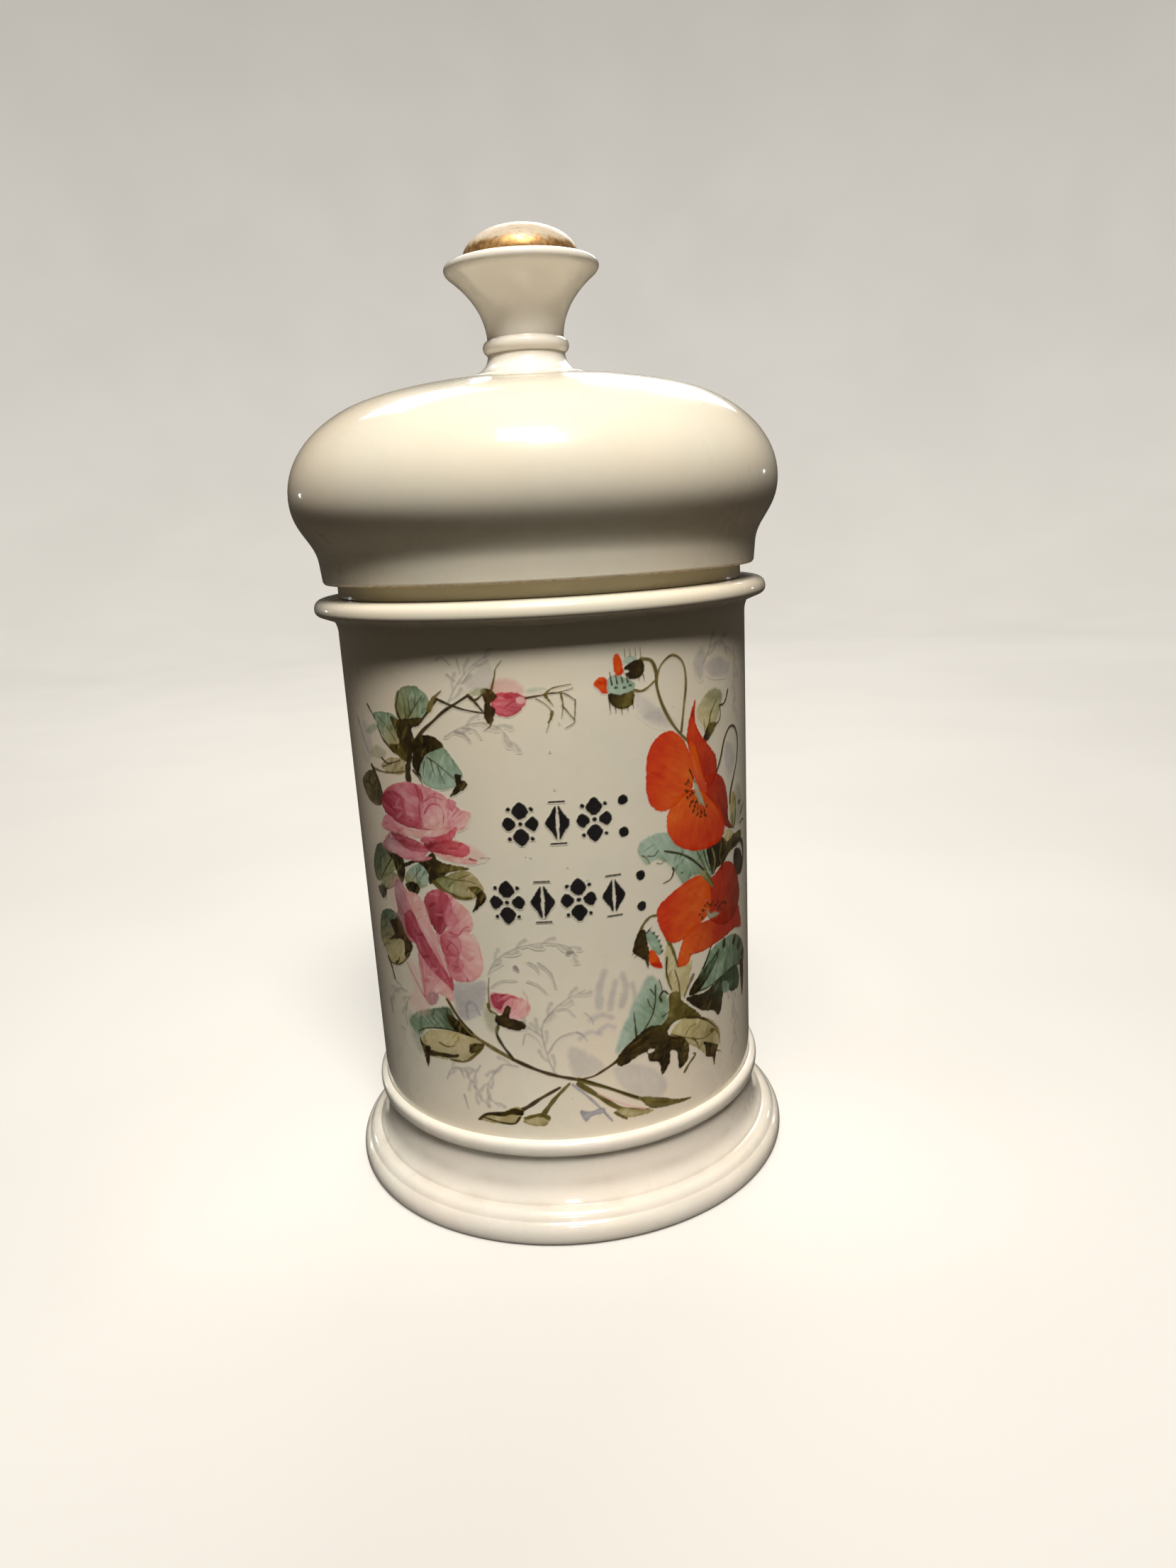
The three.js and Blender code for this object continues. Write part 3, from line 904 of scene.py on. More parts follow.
def stems(art):
    """The wreath's crossed stems. Each brush line is drawn somewhat fuller than the width it is given."""
    wash, stroke = art.wash, art.stroke
    fuller = 1.45

    def line(points, width, colour, to_width=None, strength=0.98):
        to_width = width if to_width is None else to_width
        stroke(points, fuller * width, colour, to_width=fuller * to_width, strength=strength)

    line([(-33.4, 65), (-30, 60), (-26.5, 56.4), (-22, 53.7), (-15, 50)], 0.75, STEM, to_width=0.9)
    line([(-33.4, 65), (-29.8, 60), (-26.2, 56.5)], 0.35, OLIVE_DARK, to_width=0.5)
    line([(-15, 50), (-8, 46.9), (-3, 45.2), (2, 43.9)], 0.85, BROWN, to_width=0.7)
    line([(2, 43.9), (10, 40.3), (20, 34.7), (27, 31.9), (35, 30.3)], 1.0, OLIVE, to_width=0.5)
    line([(3, 43.7), (9, 41), (18, 35.9)], 0.4, OLIVE_DARK, to_width=0.3)
    wash([(19, 35.6), (24, 34.4), (30, 31.8), (35.5, 30.3), (30, 30.4), (22, 31.6)], OLIVE, strength=0.96)
    line([(2, 42.6), (7, 38.6), (13, 33.8), (21, 31.2)], 1.2, OLIVE, to_width=1.0)
    line([(7, 39.2), (14, 34.8), (20, 32)], 0.5, BLUSH, to_width=0.5, strength=0.6)
    wash([(11.6, 33.2), (14, 33.8), (17, 32.6), (22.5, 31), (20, 30.4), (14.6, 30.7)], CREAM_LEAF,
         strength=0.96, pool=0.4)
    line([(11.4, 32.8), (13.4, 31.2), (14.6, 30.4)], 0.7, OLIVE, to_width=0.5)
    line([(2, 43.8), (6, 44.4), (9, 45.8), (12, 47.4), (15, 49.4)], 0.35, BROWN, to_width=0.8)
    line([(-3, 41.9), (-8, 39), (-12, 36.2), (-15.6, 34.2)], 0.6, BROWN, to_width=1.1)
    line([(-0.4, 42.9), (-4.4, 38.8), (-7.8, 34.2)], 0.6, OLIVE, to_width=1.1)
    wash([(-26.4, 30.9), (-24, 32.9), (-20, 33.8), (-16, 35.8), (-14, 36), (-13.6, 33.6), (-16, 31),
          (-21, 30.6)], CREAM_LEAF, strength=0.96, pool=0.4)
    line([(-26.4, 30.9), (-23.6, 33), (-19, 33.6), (-16, 34.6), (-14, 34.4)], 0.5, OLIVE_DARK, to_width=1.6)
    line([(-24.8, 31.8), (-20, 31), (-16, 31), (-14.4, 33)], 0.35, OLIVE_DARK, to_width=0.5)
    wash([(-13.4, 32.2), (-10, 34), (-6.8, 34), (-6.2, 32.4), (-8, 30.7), (-12, 31)], CREAM_LEAF,
         strength=0.96, pool=0.45)
    line([(-13, 32.8), (-9, 33.9), (-6.6, 33.2)], 0.7, OLIVE, to_width=1.0)
    line([(-18.4, 59.6), (-19, 57), (-17.4, 53.6), (-15, 50.3)], 0.75, OLIVE_DARK, to_width=0.6)
    line([(-20.4, 64.6), (-20.4, 69), (-19.9, 73)], 0.45, STEM, to_width=0.2)
    line([(-38.6, 131), (-36.4, 134.6), (-33, 138), (-29.8, 140.4), (-26.6, 142.9), (-23, 145),
          (-19.4, 147.1)], 0.85, OLIVE_DARK, to_width=0.55)
    line([(-39.6, 124), (-39.4, 127.6), (-38.2, 131)], 1.7, OLIVE_DARK, to_width=1.2)
    line([(-34.6, 139.2), (-31.4, 142.4), (-28, 146.2)], 0.5, OLIVE_DARK, to_width=0.6)
    line([(-30.6, 143.4), (-29.2, 146), (-26.6, 148.2)], 1.4, STEM, to_width=0.25)
    line([(-28, 146.1), (-24.4, 144.7), (-20.4, 143.5), (-15.8, 142.7)], 0.6, OLIVE_DARK, to_width=0.35)
    line([(-19.4, 147.1), (-17.6, 145.2), (-16, 143.2)], 0.8, OLIVE_DARK, to_width=0.4)
    line([(-19.4, 147.1), (-17.6, 146), (-15.4, 147.6)], 0.6, OLIVE_DARK, to_width=0.4)
    line([(-37.6, 127.4), (-35.6, 125.4), (-34.8, 123.6)], 0.6, BROWN, to_width=0.2)


def rose_leaves(art):
    """The leaves round the roses, down the left side."""
    wash, stroke = art.wash, art.stroke
    art.leaf((-35.5, 140.2), (-37.5, 144.4), (-33.6, 149), 11.4, OLIVE, TEAL, veins=4)
    wash([(-41.6, 141), (-41.4, 146.4), (-38.4, 148.8), (-34, 149), (-31, 147), (-30.2, 144.2),
          (-32.2, 141.4), (-36, 140.2)], TEAL, to=SAGE, along=((-31, 147), (-41, 141)), strength=0.85,
         pool=0.25, **ROSE_LEAF)
    stroke([(-40.6, 140.4), (-41.5, 143.6), (-40.1, 147.6)], 1.0, OLIVE_DARK, to_width=0.3)
    for start, end in (((-38.4, 141), (-38.6, 146)), ((-36.9, 142.4), (-36.9, 146.4)),
                       ((-35, 144.6), (-34.2, 147.2))):
        stroke([start, end], 0.4, OLIVE_DARK, to_width=0.15, strength=0.96)
    stroke([(-37.4, 141.2), (-35, 144), (-32.2, 147)], 0.5, OLIVE_DARK, to_width=0.2)

    wash([(-52, 141), (-46, 141.9), (-41, 140.4), (-39, 135), (-41, 131), (-45, 131.6), (-48.4, 135.4),
          (-50.6, 138.6)], TEAL, to=CREAM_LEAF, along=((-46, 142), (-43, 132)), strength=0.96, **ROSE_LEAF)
    wash([(-57, 135.4), (-54, 137.8), (-49.6, 138.2), (-53, 135.8)], TEAL, edge=0.6, strength=0.55)
    wash([(-56, 129.6), (-52, 132.4), (-47.6, 131.4), (-50, 129)], SAGE, edge=0.6, strength=0.5)
    stroke([(-54.6, 143.2), (-53, 141.6), (-51.4, 139.8)], 0.9, OLIVE_DARK, to_width=0.35)
    stroke([(-50.4, 138), (-48.4, 134.6), (-44, 131.6)], 0.5, OLIVE_DARK, to_width=0.9)
    stroke([(-50, 140.6), (-46, 138), (-43, 134.6)], 0.4, OLIVE, to_width=0.3)
    wash([(-44.4, 140.6), (-41.6, 140.4), (-38, 140.8), (-33.2, 141.2), (-34.6, 139.2), (-36.8, 138),
          (-36, 134.4), (-38.6, 129.8), (-41.4, 130), (-45.8, 133.4), (-41.6, 134.4)], OLIVE_DARK, to=OLIVE,
         along=((-38, 136), (-45, 134)), strength=0.99, **ROSE_LEAF)
    wash([(-50.6, 127.2), (-46, 129.9), (-40.6, 129.8), (-40.4, 126.6), (-46, 125.5)], CREAM_LEAF,
         strength=0.85, pool=0.35, **ROSE_LEAF)
    stroke([(-50, 129.4), (-47.6, 128.2), (-45.4, 128.6), (-42, 129.6)], 0.7, OLIVE_DARK, to_width=0.3)
    stroke([(-49.8, 127), (-47.4, 127.8)], 0.4, OLIVE_DARK)
    stroke([(-55.4, 126), (-50, 125.6), (-46, 125.9), (-40.4, 126.8)], 1.0, OLIVE, to_width=0.4,
           strength=0.85)

    wash([(-36.4, 134), (-34.6, 136.2), (-31, 136.8), (-27.8, 134.8), (-24.6, 130.6), (-22.6, 127),
          (-24.8, 124), (-30, 122.9), (-34.4, 124.2), (-36, 128)], TEAL, to=TEAL_PALE,
         along=((-32, 134), (-30, 123)), strength=0.96, pool=0.22, **ROSE_LEAF)
    wash([(-37.6, 129.6), (-36.4, 134.2), (-34.8, 136.4), (-30.8, 136.9), (-27.2, 134.4), (-30.4, 132.9),
          (-33.4, 131.2), (-35.4, 127.4), (-34.6, 125.4), (-36.8, 127)], OLIVE_DARK, strength=0.99,
         **ROSE_LEAF)
    stroke([(-32.7, 131.2), (-29.4, 129.4), (-25, 126)], 0.5, OLIVE_DARK, to_width=0.25)
    for start, end in (((-31.6, 130.8), (-30.6, 126)), ((-29.6, 129), (-28, 124.6)),
                       ((-33.6, 130), (-34.4, 126))):
        stroke([start, end], 0.4, OLIVE_DARK, to_width=0.2, strength=0.96)
    wash([(-24.8, 127), (-22.9, 127.1), (-23.2, 125.8), (-21.9, 125.4), (-22, 123.8), (-26.6, 121.3),
          (-24.8, 124.2)], OLIVE_DARK, strength=0.99, **ROSE_LEAF)

    wash([(-64, 121), (-60, 124), (-55.4, 125.4), (-52.4, 123), (-51.2, 119), (-53, 116), (-58, 115.7),
          (-62, 118)], OLIVE, to=OLIVE_DARK, along=((-61, 121), (-52, 120)), strength=0.96, **ROSE_LEAF)
    stroke([(-62, 121), (-58, 121.4), (-55, 119)], 0.6, OLIVE_DARK, to_width=0.3)
    stroke([(-55.8, 126.6), (-53.4, 123.8), (-51.4, 119.6)], 1.5, OLIVE_DARK, to_width=0.6)

    wash([(-62, 98), (-58, 104), (-53.4, 105.2), (-48.6, 103.4), (-46.4, 100.6), (-50, 98), (-56, 94.6),
          (-61, 93.4)], TEAL_DARK, to=SAGE, along=((-58, 103), (-51, 96)), strength=0.96, **ROSE_LEAF)
    wash([(-57.4, 95), (-49.4, 98), (-46.4, 95.4), (-51, 93.6), (-57, 91.4)], SAGE, strength=0.85,
         **ROSE_LEAF)
    wash([(-54.8, 105.1), (-51, 103.4), (-45.4, 103.4), (-44.4, 99.6), (-46.2, 95.6), (-48.2, 97.8),
          (-49.6, 101.2), (-52, 102.6)], OLIVE_DARK, strength=0.99, **ROSE_LEAF)
    stroke([(-50.4, 101.6), (-54, 98), (-57.6, 94.4)], 0.6, OLIVE_DARK, to_width=0.3)
    stroke([(-49.6, 94.4), (-53, 92.6), (-55.4, 91.6), (-55.6, 88.6)], 0.6, OLIVE_DARK, to_width=0.3)
    wash([(-60.4, 91.4), (-57, 92.8), (-54.8, 91.6), (-56.6, 89), (-59, 89)], OLIVE_DARK, strength=0.85,
         edge=0.4, **ROSE_LEAF)

    wash([(-45, 97.2), (-42, 100.8), (-38, 102.2), (-35.8, 99.4), (-36.8, 96.4), (-40, 95.4),
          (-43.6, 95.8)], TEAL_PALE, to=SAGE, along=((-40, 101), (-43, 96)), strength=0.96, **ROSE_LEAF)
    for start, end in (((-39.8, 100.8), (-40.4, 96.4)), ((-38.4, 100.8), (-41.8, 97.4)),
                       ((-37, 100.4), (-39, 97.6))):
        stroke([start, end], 0.35, OLIVE_DARK, to_width=0.15, strength=0.85)
    wash([(-45.2, 101.2), (-41, 102.8), (-37, 103.6), (-33.4, 106), (-31.6, 103.8), (-23, 102.6),
          (-29, 101), (-32, 98.4), (-35.6, 97.2), (-36, 100.4), (-39.4, 102.4), (-44.4, 100.4)], OLIVE_DARK,
         to=OLIVE, along=((-36, 101), (-24, 103)), strength=0.99, **ROSE_LEAF)
    wash([(-45, 95.6), (-41.4, 96.8), (-39.2, 95.2), (-41.2, 93), (-43.8, 93.6)], OLIVE_DARK, strength=0.99,
         **ROSE_LEAF)
    wash([(-33.6, 98.2), (-29.6, 100.2), (-25, 102), (-21.6, 100.8), (-19.4, 97.2), (-21.4, 94.8),
          (-25, 94.2), (-29.6, 95.2)], SAGE, to=CREAM_LEAF, along=((-31, 97), (-22, 99)), strength=0.96,
         **ROSE_LEAF)
    stroke([(-34, 97.8), (-30.6, 95.6), (-26, 94.3), (-23, 94.6)], 1.7, OLIVE, to_width=0.8)
    stroke([(-32.4, 100), (-28, 99.2), (-24, 99.2), (-21.4, 98.6)], 0.45, OLIVE, to_width=0.2)
    stroke([(-26.4, 99.6), (-23.4, 100.8)], 0.3, OLIVE)
    wash([(-23.6, 97.6), (-20.6, 97.6), (-18.8, 95), (-20.8, 92.4), (-22.9, 91), (-21.6, 94.6),
          (-22.6, 96.2)], OLIVE, to=OLIVE_DARK, along=((-23, 97), (-20, 93)), strength=0.99, **ROSE_LEAF)

    wash([(-63, 76), (-60.6, 83), (-56, 86), (-51, 86), (-48, 82), (-45, 78), (-47, 74.2), (-52, 70.8),
          (-57.4, 70), (-60, 73)], TEAL_DARK, to=STRAW, along=((-56, 85), (-53, 72)), strength=0.96,
         **ROSE_LEAF)
    wash([(-55, 82.6), (-51.4, 84.4), (-50, 86.6), (-47.8, 82), (-44.8, 78.6), (-45.4, 76.2), (-48.6, 73.6),
          (-48.4, 78.4), (-52, 78.2), (-56.6, 76.8), (-53, 79.6)], BROWN, strength=0.99, **ROSE_LEAF)
    stroke([(-58, 69.8), (-53.6, 70.2), (-50, 71.8), (-46.4, 75)], 0.4, OLIVE_DARK, to_width=0.6)
    stroke([(-54, 70.6), (-52.4, 71.6), (-51.4, 73)], 1.0, OLIVE_DARK, to_width=0.3)
    stroke([(-58.6, 71), (-57, 69), (-55.6, 65.4)], 1.4, BROWN, to_width=0.9)
    for z in (83, 80.4, 77.8, 75.2):
        stroke([(-61.6, z - 2), (-58, z), (-54.6, z + 0.6)], 0.8, OLIVE_DARK, to_width=0.2, strength=0.45,
               soft=0.3)

    wash([(-50, 57), (-49, 50), (-45.6, 46), (-43, 50), (-44, 56)], TEAL, edge=1.3, strength=0.45, pool=0)
    wash([(-49.4, 55), (-44.6, 59), (-38, 61.4), (-33, 62.6), (-30.4, 58.4), (-28, 56.2), (-36, 55.8),
          (-42, 54.2), (-45.6, 51.6), (-48, 52.6)], TEAL, to=TEAL_DARK, along=((-44, 53), (-33, 62)),
         strength=0.96, edge=0.4, **ROSE_LEAF)
    for i in range(6):
        s = -42.5 + 2.3 * i
        stroke([(s - 1.6, 57.6 + 0.5 * i), (s, 56.8 + 0.3 * i), (s + 1.6, 55.9)], 0.55, TEAL_DARK,
               to_width=0.3, strength=0.85)
    wash([(-44.6, 50.4), (-41, 54.2), (-34, 55.7), (-27.4, 55.5), (-22.8, 53.6), (-25.8, 50.2), (-30, 47.9),
          (-37, 46.7), (-42, 46.3), (-43.6, 48)], STRAW, to=CREAM_LEAF, along=((-38, 55), (-36, 47)),
         strength=0.85, pool=0.2, **ROSE_LEAF)
    stroke([(-45.8, 52.6), (-42, 54.6), (-36, 55.9), (-30, 56), (-25.6, 55.3)], 0.35, OLIVE_DARK,
           to_width=0.6)
    wash([(-34, 60.6), (-31.4, 60), (-29, 58.6), (-25.4, 55.6), (-29, 55.6), (-32.6, 57)], OLIVE_DARK,
         strength=0.99, **ROSE_LEAF)
    stroke([(-42.4, 47.2), (-38, 47.8), (-33, 48.4), (-31.4, 49)], 1.9, OLIVE_DARK, to_width=0.9)
    stroke([(-34, 47.2), (-29.4, 47.6), (-26, 50), (-23.6, 52.8)], 0.7, OLIVE, to_width=1.2)
    stroke([(-37.6, 51.4), (-35, 50.8), (-32.2, 51.6)], 0.9, OLIVE, to_width=0.25, strength=0.96)
    wash([(-27.6, 51), (-26.8, 53.2), (-23, 53.6), (-24.6, 51.4), (-26.6, 50.4)], OLIVE_DARK, strength=0.99,
         **ROSE_LEAF)
    wash([(-45.8, 51.6), (-44, 49.2), (-41.4, 49.2), (-42, 45.4), (-43.2, 42.4), (-44.2, 46),
          (-45.2, 48.6)], BROWN, strength=0.99, **ROSE_LEAF)


def upper_rose(art):
    """The upper rose: a cup of petals over a broad lower lip."""
    wash, stroke = art.wash, art.stroke
    heart = (-31, 115)
    wash([(-57, 116), (-54, 112), (-56, 106), (-51, 103.5), (-46, 108), (-50, 114)], BLUSH, edge=1.4,
         strength=0.4, pool=0, grain=0.05)
    wash([(-24, 109), (-20.4, 108), (-18, 106), (-21, 104.4), (-26, 104.4)], BLUSH, edge=0.8, strength=0.5,
         pool=0)
    wash([(-52, 117), (-50.4, 120.4), (-46.6, 122.6), (-41.4, 124), (-37, 124), (-33, 123.2), (-29.4, 122),
          (-26, 119.6), (-24, 117.4), (-25, 113), (-31, 112), (-38, 112), (-45, 112.5), (-51, 115)], ROSE,
         to=PINK, along=((-46, 115), (-36, 123)), root=heart, **ROSE_PETAL, pool=0.1)
    wash([(-52.2, 117), (-50.6, 119.8), (-46, 121), (-42, 119), (-39.6, 116), (-38, 112.2), (-45, 112.5),
          (-51, 114.9)], CRIMSON, to=ROSE, along=((-50, 116), (-39, 117)), root=(-38, 112), **ROSE_PETAL,
         pool=0.15, **PETAL_TOUCHES)
    wash([(-44, 121.6), (-41, 123.6), (-37, 123.8), (-35, 121), (-36, 118), (-40, 118.4)], PINK, to=ROSE,
         along=((-43, 121), (-36, 119)), root=heart, **ROSE_PETAL)
    wash([(-41.4, 119.6), (-37, 120.4), (-35, 117), (-36.4, 112.4), (-39.4, 113.6), (-42, 116)], PINK,
         to=ROSE, along=((-41, 118), (-36, 114)), strength=0.96, root=heart, **ROSE_PETAL)
    wash([(-36.4, 112.6), (-36, 117.4), (-34.4, 120.4), (-31.4, 122), (-28.4, 121.4), (-26.8, 118),
          (-27.4, 114.4), (-30, 112.3)], PINK, to=BLUSH, along=((-35, 119), (-30, 114)), root=heart,
         **ROSE_PETAL, pool=0.3)
    wash([(-34, 113), (-33.6, 115.4), (-31.4, 116.4), (-30.6, 114.4), (-31.6, 112.8)], BLUSH, strength=0.96,
         pool=0.3)
    stroke([(-35, 116.4), (-33.2, 118.6), (-30.6, 119), (-29, 117.2), (-29.4, 114.2)], 0.7, ROSE,
           to_width=0.3)
    stroke([(-34.6, 119.6), (-32, 120.9), (-29, 120.4)], 0.5, ROSE, to_width=0.25)
    stroke([(-29.6, 119.4), (-28.6, 116.6), (-28.4, 114)], 0.9, BLUSH, to_width=0.4)
    wash([(-27.6, 119.6), (-24.6, 118.2), (-21.3, 117.4), (-22, 115), (-24, 112.8), (-27.4, 112.6),
          (-28, 116)], PINK, to=BLUSH, along=((-28, 117), (-22, 115)), root=(-30, 112), **ROSE_PETAL,
         edge=0.35, marks=5, lean=0.5)
    wash([(-27.4, 120.6), (-25, 119.8), (-26.6, 117.4)], PINK, strength=0.96)
    stroke([(-51, 114.8), (-45, 112.5), (-38, 111.9), (-30, 112.2)], 0.8, CRIMSON, to_width=0.3,
           strength=0.96)
    stroke([(-37.4, 123.6), (-36.4, 120), (-36.8, 116), (-36, 112.6)], 0.7, CRIMSON, to_width=0.5,
           strength=0.6)
    wash([(-53.6, 110.2), (-50.4, 113.9), (-44.6, 112.2), (-38, 111.6), (-26, 112.9), (-28.4, 110.8),
          (-34, 109.2), (-42, 109.4), (-49, 109.2)], BLUSH, to=PINK, along=((-36, 112), (-50, 110)),
         root=(-36, 106), **ROSE_PETAL, pool=0.1, **PETAL_TOUCHES)
    wash([(-25.4, 113.2), (-27.4, 112.6), (-30, 110.9), (-36.6, 109.6), (-37, 108.2), (-31, 109),
          (-27.4, 109.6)], ROSE, to=CORAL, along=((-36, 109), (-26, 112)), pool=0.1)
    wash([(-54.4, 104.6), (-51.6, 107.4), (-48, 109.6), (-43, 109.2), (-38, 108.2), (-34.6, 106.6),
          (-37.4, 104.2), (-43.6, 102.7), (-49, 103.8)], MAUVE, to=PINK, along=((-46, 109), (-44, 103)),
         root=(-34, 107), **ROSE_PETAL, **PETAL_TOUCHES)
    wash([(-49, 109), (-43, 109.2), (-37, 108), (-35.4, 106), (-41, 105.4), (-45.4, 106.6)], CRIMSON,
         to=ROSE, along=((-47, 109), (-36, 106)), strength=0.85, root=(-34, 107), **ROSE_PETAL,
         **PETAL_TOUCHES)
    stroke([(-52.4, 107), (-50.4, 108.6), (-48.2, 109.6)], 0.4, CRIMSON, to_width=0.2, strength=0.85)
    wash([(-36.4, 108), (-31, 109.2), (-26, 109.6), (-22.4, 108.4), (-23.6, 105.6), (-29, 105.6),
          (-34, 106)], CRIMSON, to=CORAL, along=((-36, 107), (-25, 108)), root=(-38, 106), **ROSE_PETAL,
         edge=0.3, **PETAL_TOUCHES)
    wash([(-33.4, 106), (-27, 105.4), (-21.4, 105), (-21.6, 103.8), (-28.6, 104.2)], BLUSH, strength=0.96,
         pool=0.3)
    stroke([(-22.6, 105.2), (-20.8, 104.8)], 0.7, CRIMSON, to_width=0.4)
    stroke([(-19.6, 105.5), (-17.2, 105.7)], 0.4, OLIVE, to_width=0.2, strength=0.6)
    wash([(-38.4, 104.4), (-34, 104.6), (-36.6, 103.2), (-42, 102.9)], PINK, strength=0.85)


def lower_rose(art):
    """The lower rose, seen from its side, with a long pale fold."""
    wash, stroke = art.wash, art.stroke
    wash([(-48, 73), (-46, 66), (-49, 61), (-44, 58), (-40, 62), (-42, 72)], BLUSH, edge=1.6, strength=0.45,
         pool=0, grain=0.05)
    wash([(-54, 92), (-50, 96.6), (-46, 95), (-44, 88), (-50, 85)], BLUSH, edge=1.4, strength=0.5, pool=0)
    wash([(-34, 92), (-31, 95.6), (-27, 93.4), (-24, 90.8), (-23.2, 87), (-25.6, 84.6), (-31, 85)], PINK,
         to=BLUSH, along=((-31, 88), (-24, 92)), root=(-33, 82), **ROSE_PETAL, **PETAL_TOUCHES)
    wash([(-35, 84), (-29.6, 84.9), (-24.6, 84.9), (-22.2, 81.6), (-21.2, 76), (-23.6, 72), (-28, 70.8),
          (-31.4, 72), (-33.4, 78)], PINK, to=BLUSH, along=((-32, 77), (-22, 80)), root=(-35, 84),
         **ROSE_PETAL, pool=0.22, **PETAL_TOUCHES)
    wash([(-33.8, 82.6), (-31, 84.2), (-27.6, 83), (-27.4, 79.6), (-30, 77), (-32.8, 78)], ROSE, to=PINK,
         along=((-33, 80), (-28, 82)), strength=0.96, root=(-35, 84), **ROSE_PETAL, **PETAL_TOUCHES)
    wash([(-32.6, 77.6), (-29.4, 78.4), (-27, 75.6), (-28.4, 73.4), (-31.4, 73.8)], PINK, to=ROSE,
         along=((-28, 74), (-32, 77)), strength=0.85, root=(-33, 72), **ROSE_PETAL, **PETAL_TOUCHES)
    stroke([(-31.2, 82), (-29, 80.6), (-28.2, 78.2), (-29.4, 76)], 0.6, CRIMSON, to_width=0.25,
           strength=0.6)
    stroke([(-30.4, 84.4), (-28, 84), (-25.8, 86.2), (-24.2, 86.6)], 0.9, ROSE, to_width=0.3)
    stroke([(-30.6, 75), (-28.6, 74.8)], 0.5, CRIMSON, to_width=0.3, strength=0.6)
    stroke([(-23.6, 84.8), (-22.2, 82.6), (-21.6, 78)], 0.35, CORAL, to_width=0.2, strength=0.5)
    wash([(-38.4, 91), (-36.8, 94.4), (-33.4, 96), (-30, 94.6), (-29, 91), (-30.4, 87.4), (-33.6, 83.4),
          (-36.4, 85.8)], CRIMSON, to=ROSE, along=((-35, 86), (-31, 95)), root=(-35, 80), **ROSE_PETAL,
         pool=0.15, **PETAL_TOUCHES)
    wash([(-31.6, 90), (-29.6, 90.6), (-27.6, 88.8), (-29, 86.4), (-31.4, 86.6)], PINK, strength=0.85,
         pool=0.3)
    wash([(-50.4, 92.6), (-48.6, 96.2), (-45.8, 95), (-42, 90), (-39.8, 84), (-41.6, 79.6), (-46, 79.6),
          (-49.2, 85)], MAUVE, to=PINK, along=((-49, 88), (-42, 88)), root=(-36, 70), **ROSE_PETAL,
         pool=0.2, **PETAL_TOUCHES)
    wash([(-45, 93), (-40, 93.2), (-38, 89.6), (-35.8, 83.4), (-34, 77.4), (-32.2, 71.4), (-36.4, 76),
          (-40, 81.4), (-42.6, 87)], BLUSH, to=PINK, along=((-42, 90), (-34, 75)), root=(-33, 69),
         **ROSE_PETAL, pool=0.14, **PETAL_TOUCHES)
    wash([(-46.8, 86.4), (-43.4, 88.2), (-40.6, 83.6), (-37, 78.4), (-33.8, 74), (-31, 71.4), (-31.2, 67.6),
          (-35, 70), (-39, 73), (-42, 75.6), (-43.4, 79.4), (-46.4, 81.4)], CRIMSON, to=ROSE,
         along=((-42, 82), (-32, 70)), root=(-31, 67), **ROSE_PETAL, pool=0.15, **PETAL_TOUCHES)
    stroke([(-38.6, 91.6), (-36.4, 84.4), (-34.4, 77.6), (-31.8, 71.8)], 0.8, BLUSH, to_width=0.5,
           strength=0.96)
    stroke([(-36, 84), (-34, 78), (-31.6, 72)], 0.35, CRIMSON, to_width=0.3, strength=0.6)
    wash([(-42.4, 76.4), (-38, 72.6), (-33, 69.2), (-31, 67), (-31.8, 64.8), (-36, 66), (-38, 62.6),
          (-40.4, 62.2), (-41.8, 65), (-42.4, 71)], PINK, to=BLUSH, along=((-41, 74), (-33, 66)),
         root=(-41, 64), **ROSE_PETAL, pool=0.2, **PETAL_TOUCHES)
    wash([(-38.6, 66), (-36.2, 65.4), (-37.6, 62.8), (-40, 62), (-41, 64)], MAUVE, strength=0.85, edge=0.4)
    stroke([(-41.6, 75), (-41.4, 69.6), (-41.4, 63.8)], 0.45, ROSE, to_width=0.3, strength=0.85)
    stroke([(-48, 72.4), (-44.8, 68), (-41.6, 63.8)], 0.4, ROSE, to_width=0.5, strength=0.85)
    stroke([(-26.4, 72), (-26.2, 71.2)], 0.4, CRIMSON, strength=0.85)
    stroke([(-27.2, 60.8), (-27, 64.6), (-25, 65.2), (-23.4, 62)], 1.0, LILAC, to_width=0.6, strength=0.85,
           soft=0.3)
    wash([(-22.4, 64), (-20.6, 66), (-18.6, 62), (-18.8, 57.6), (-21.6, 58.6)], SAGE, edge=1.0,
         strength=0.5, pool=0)


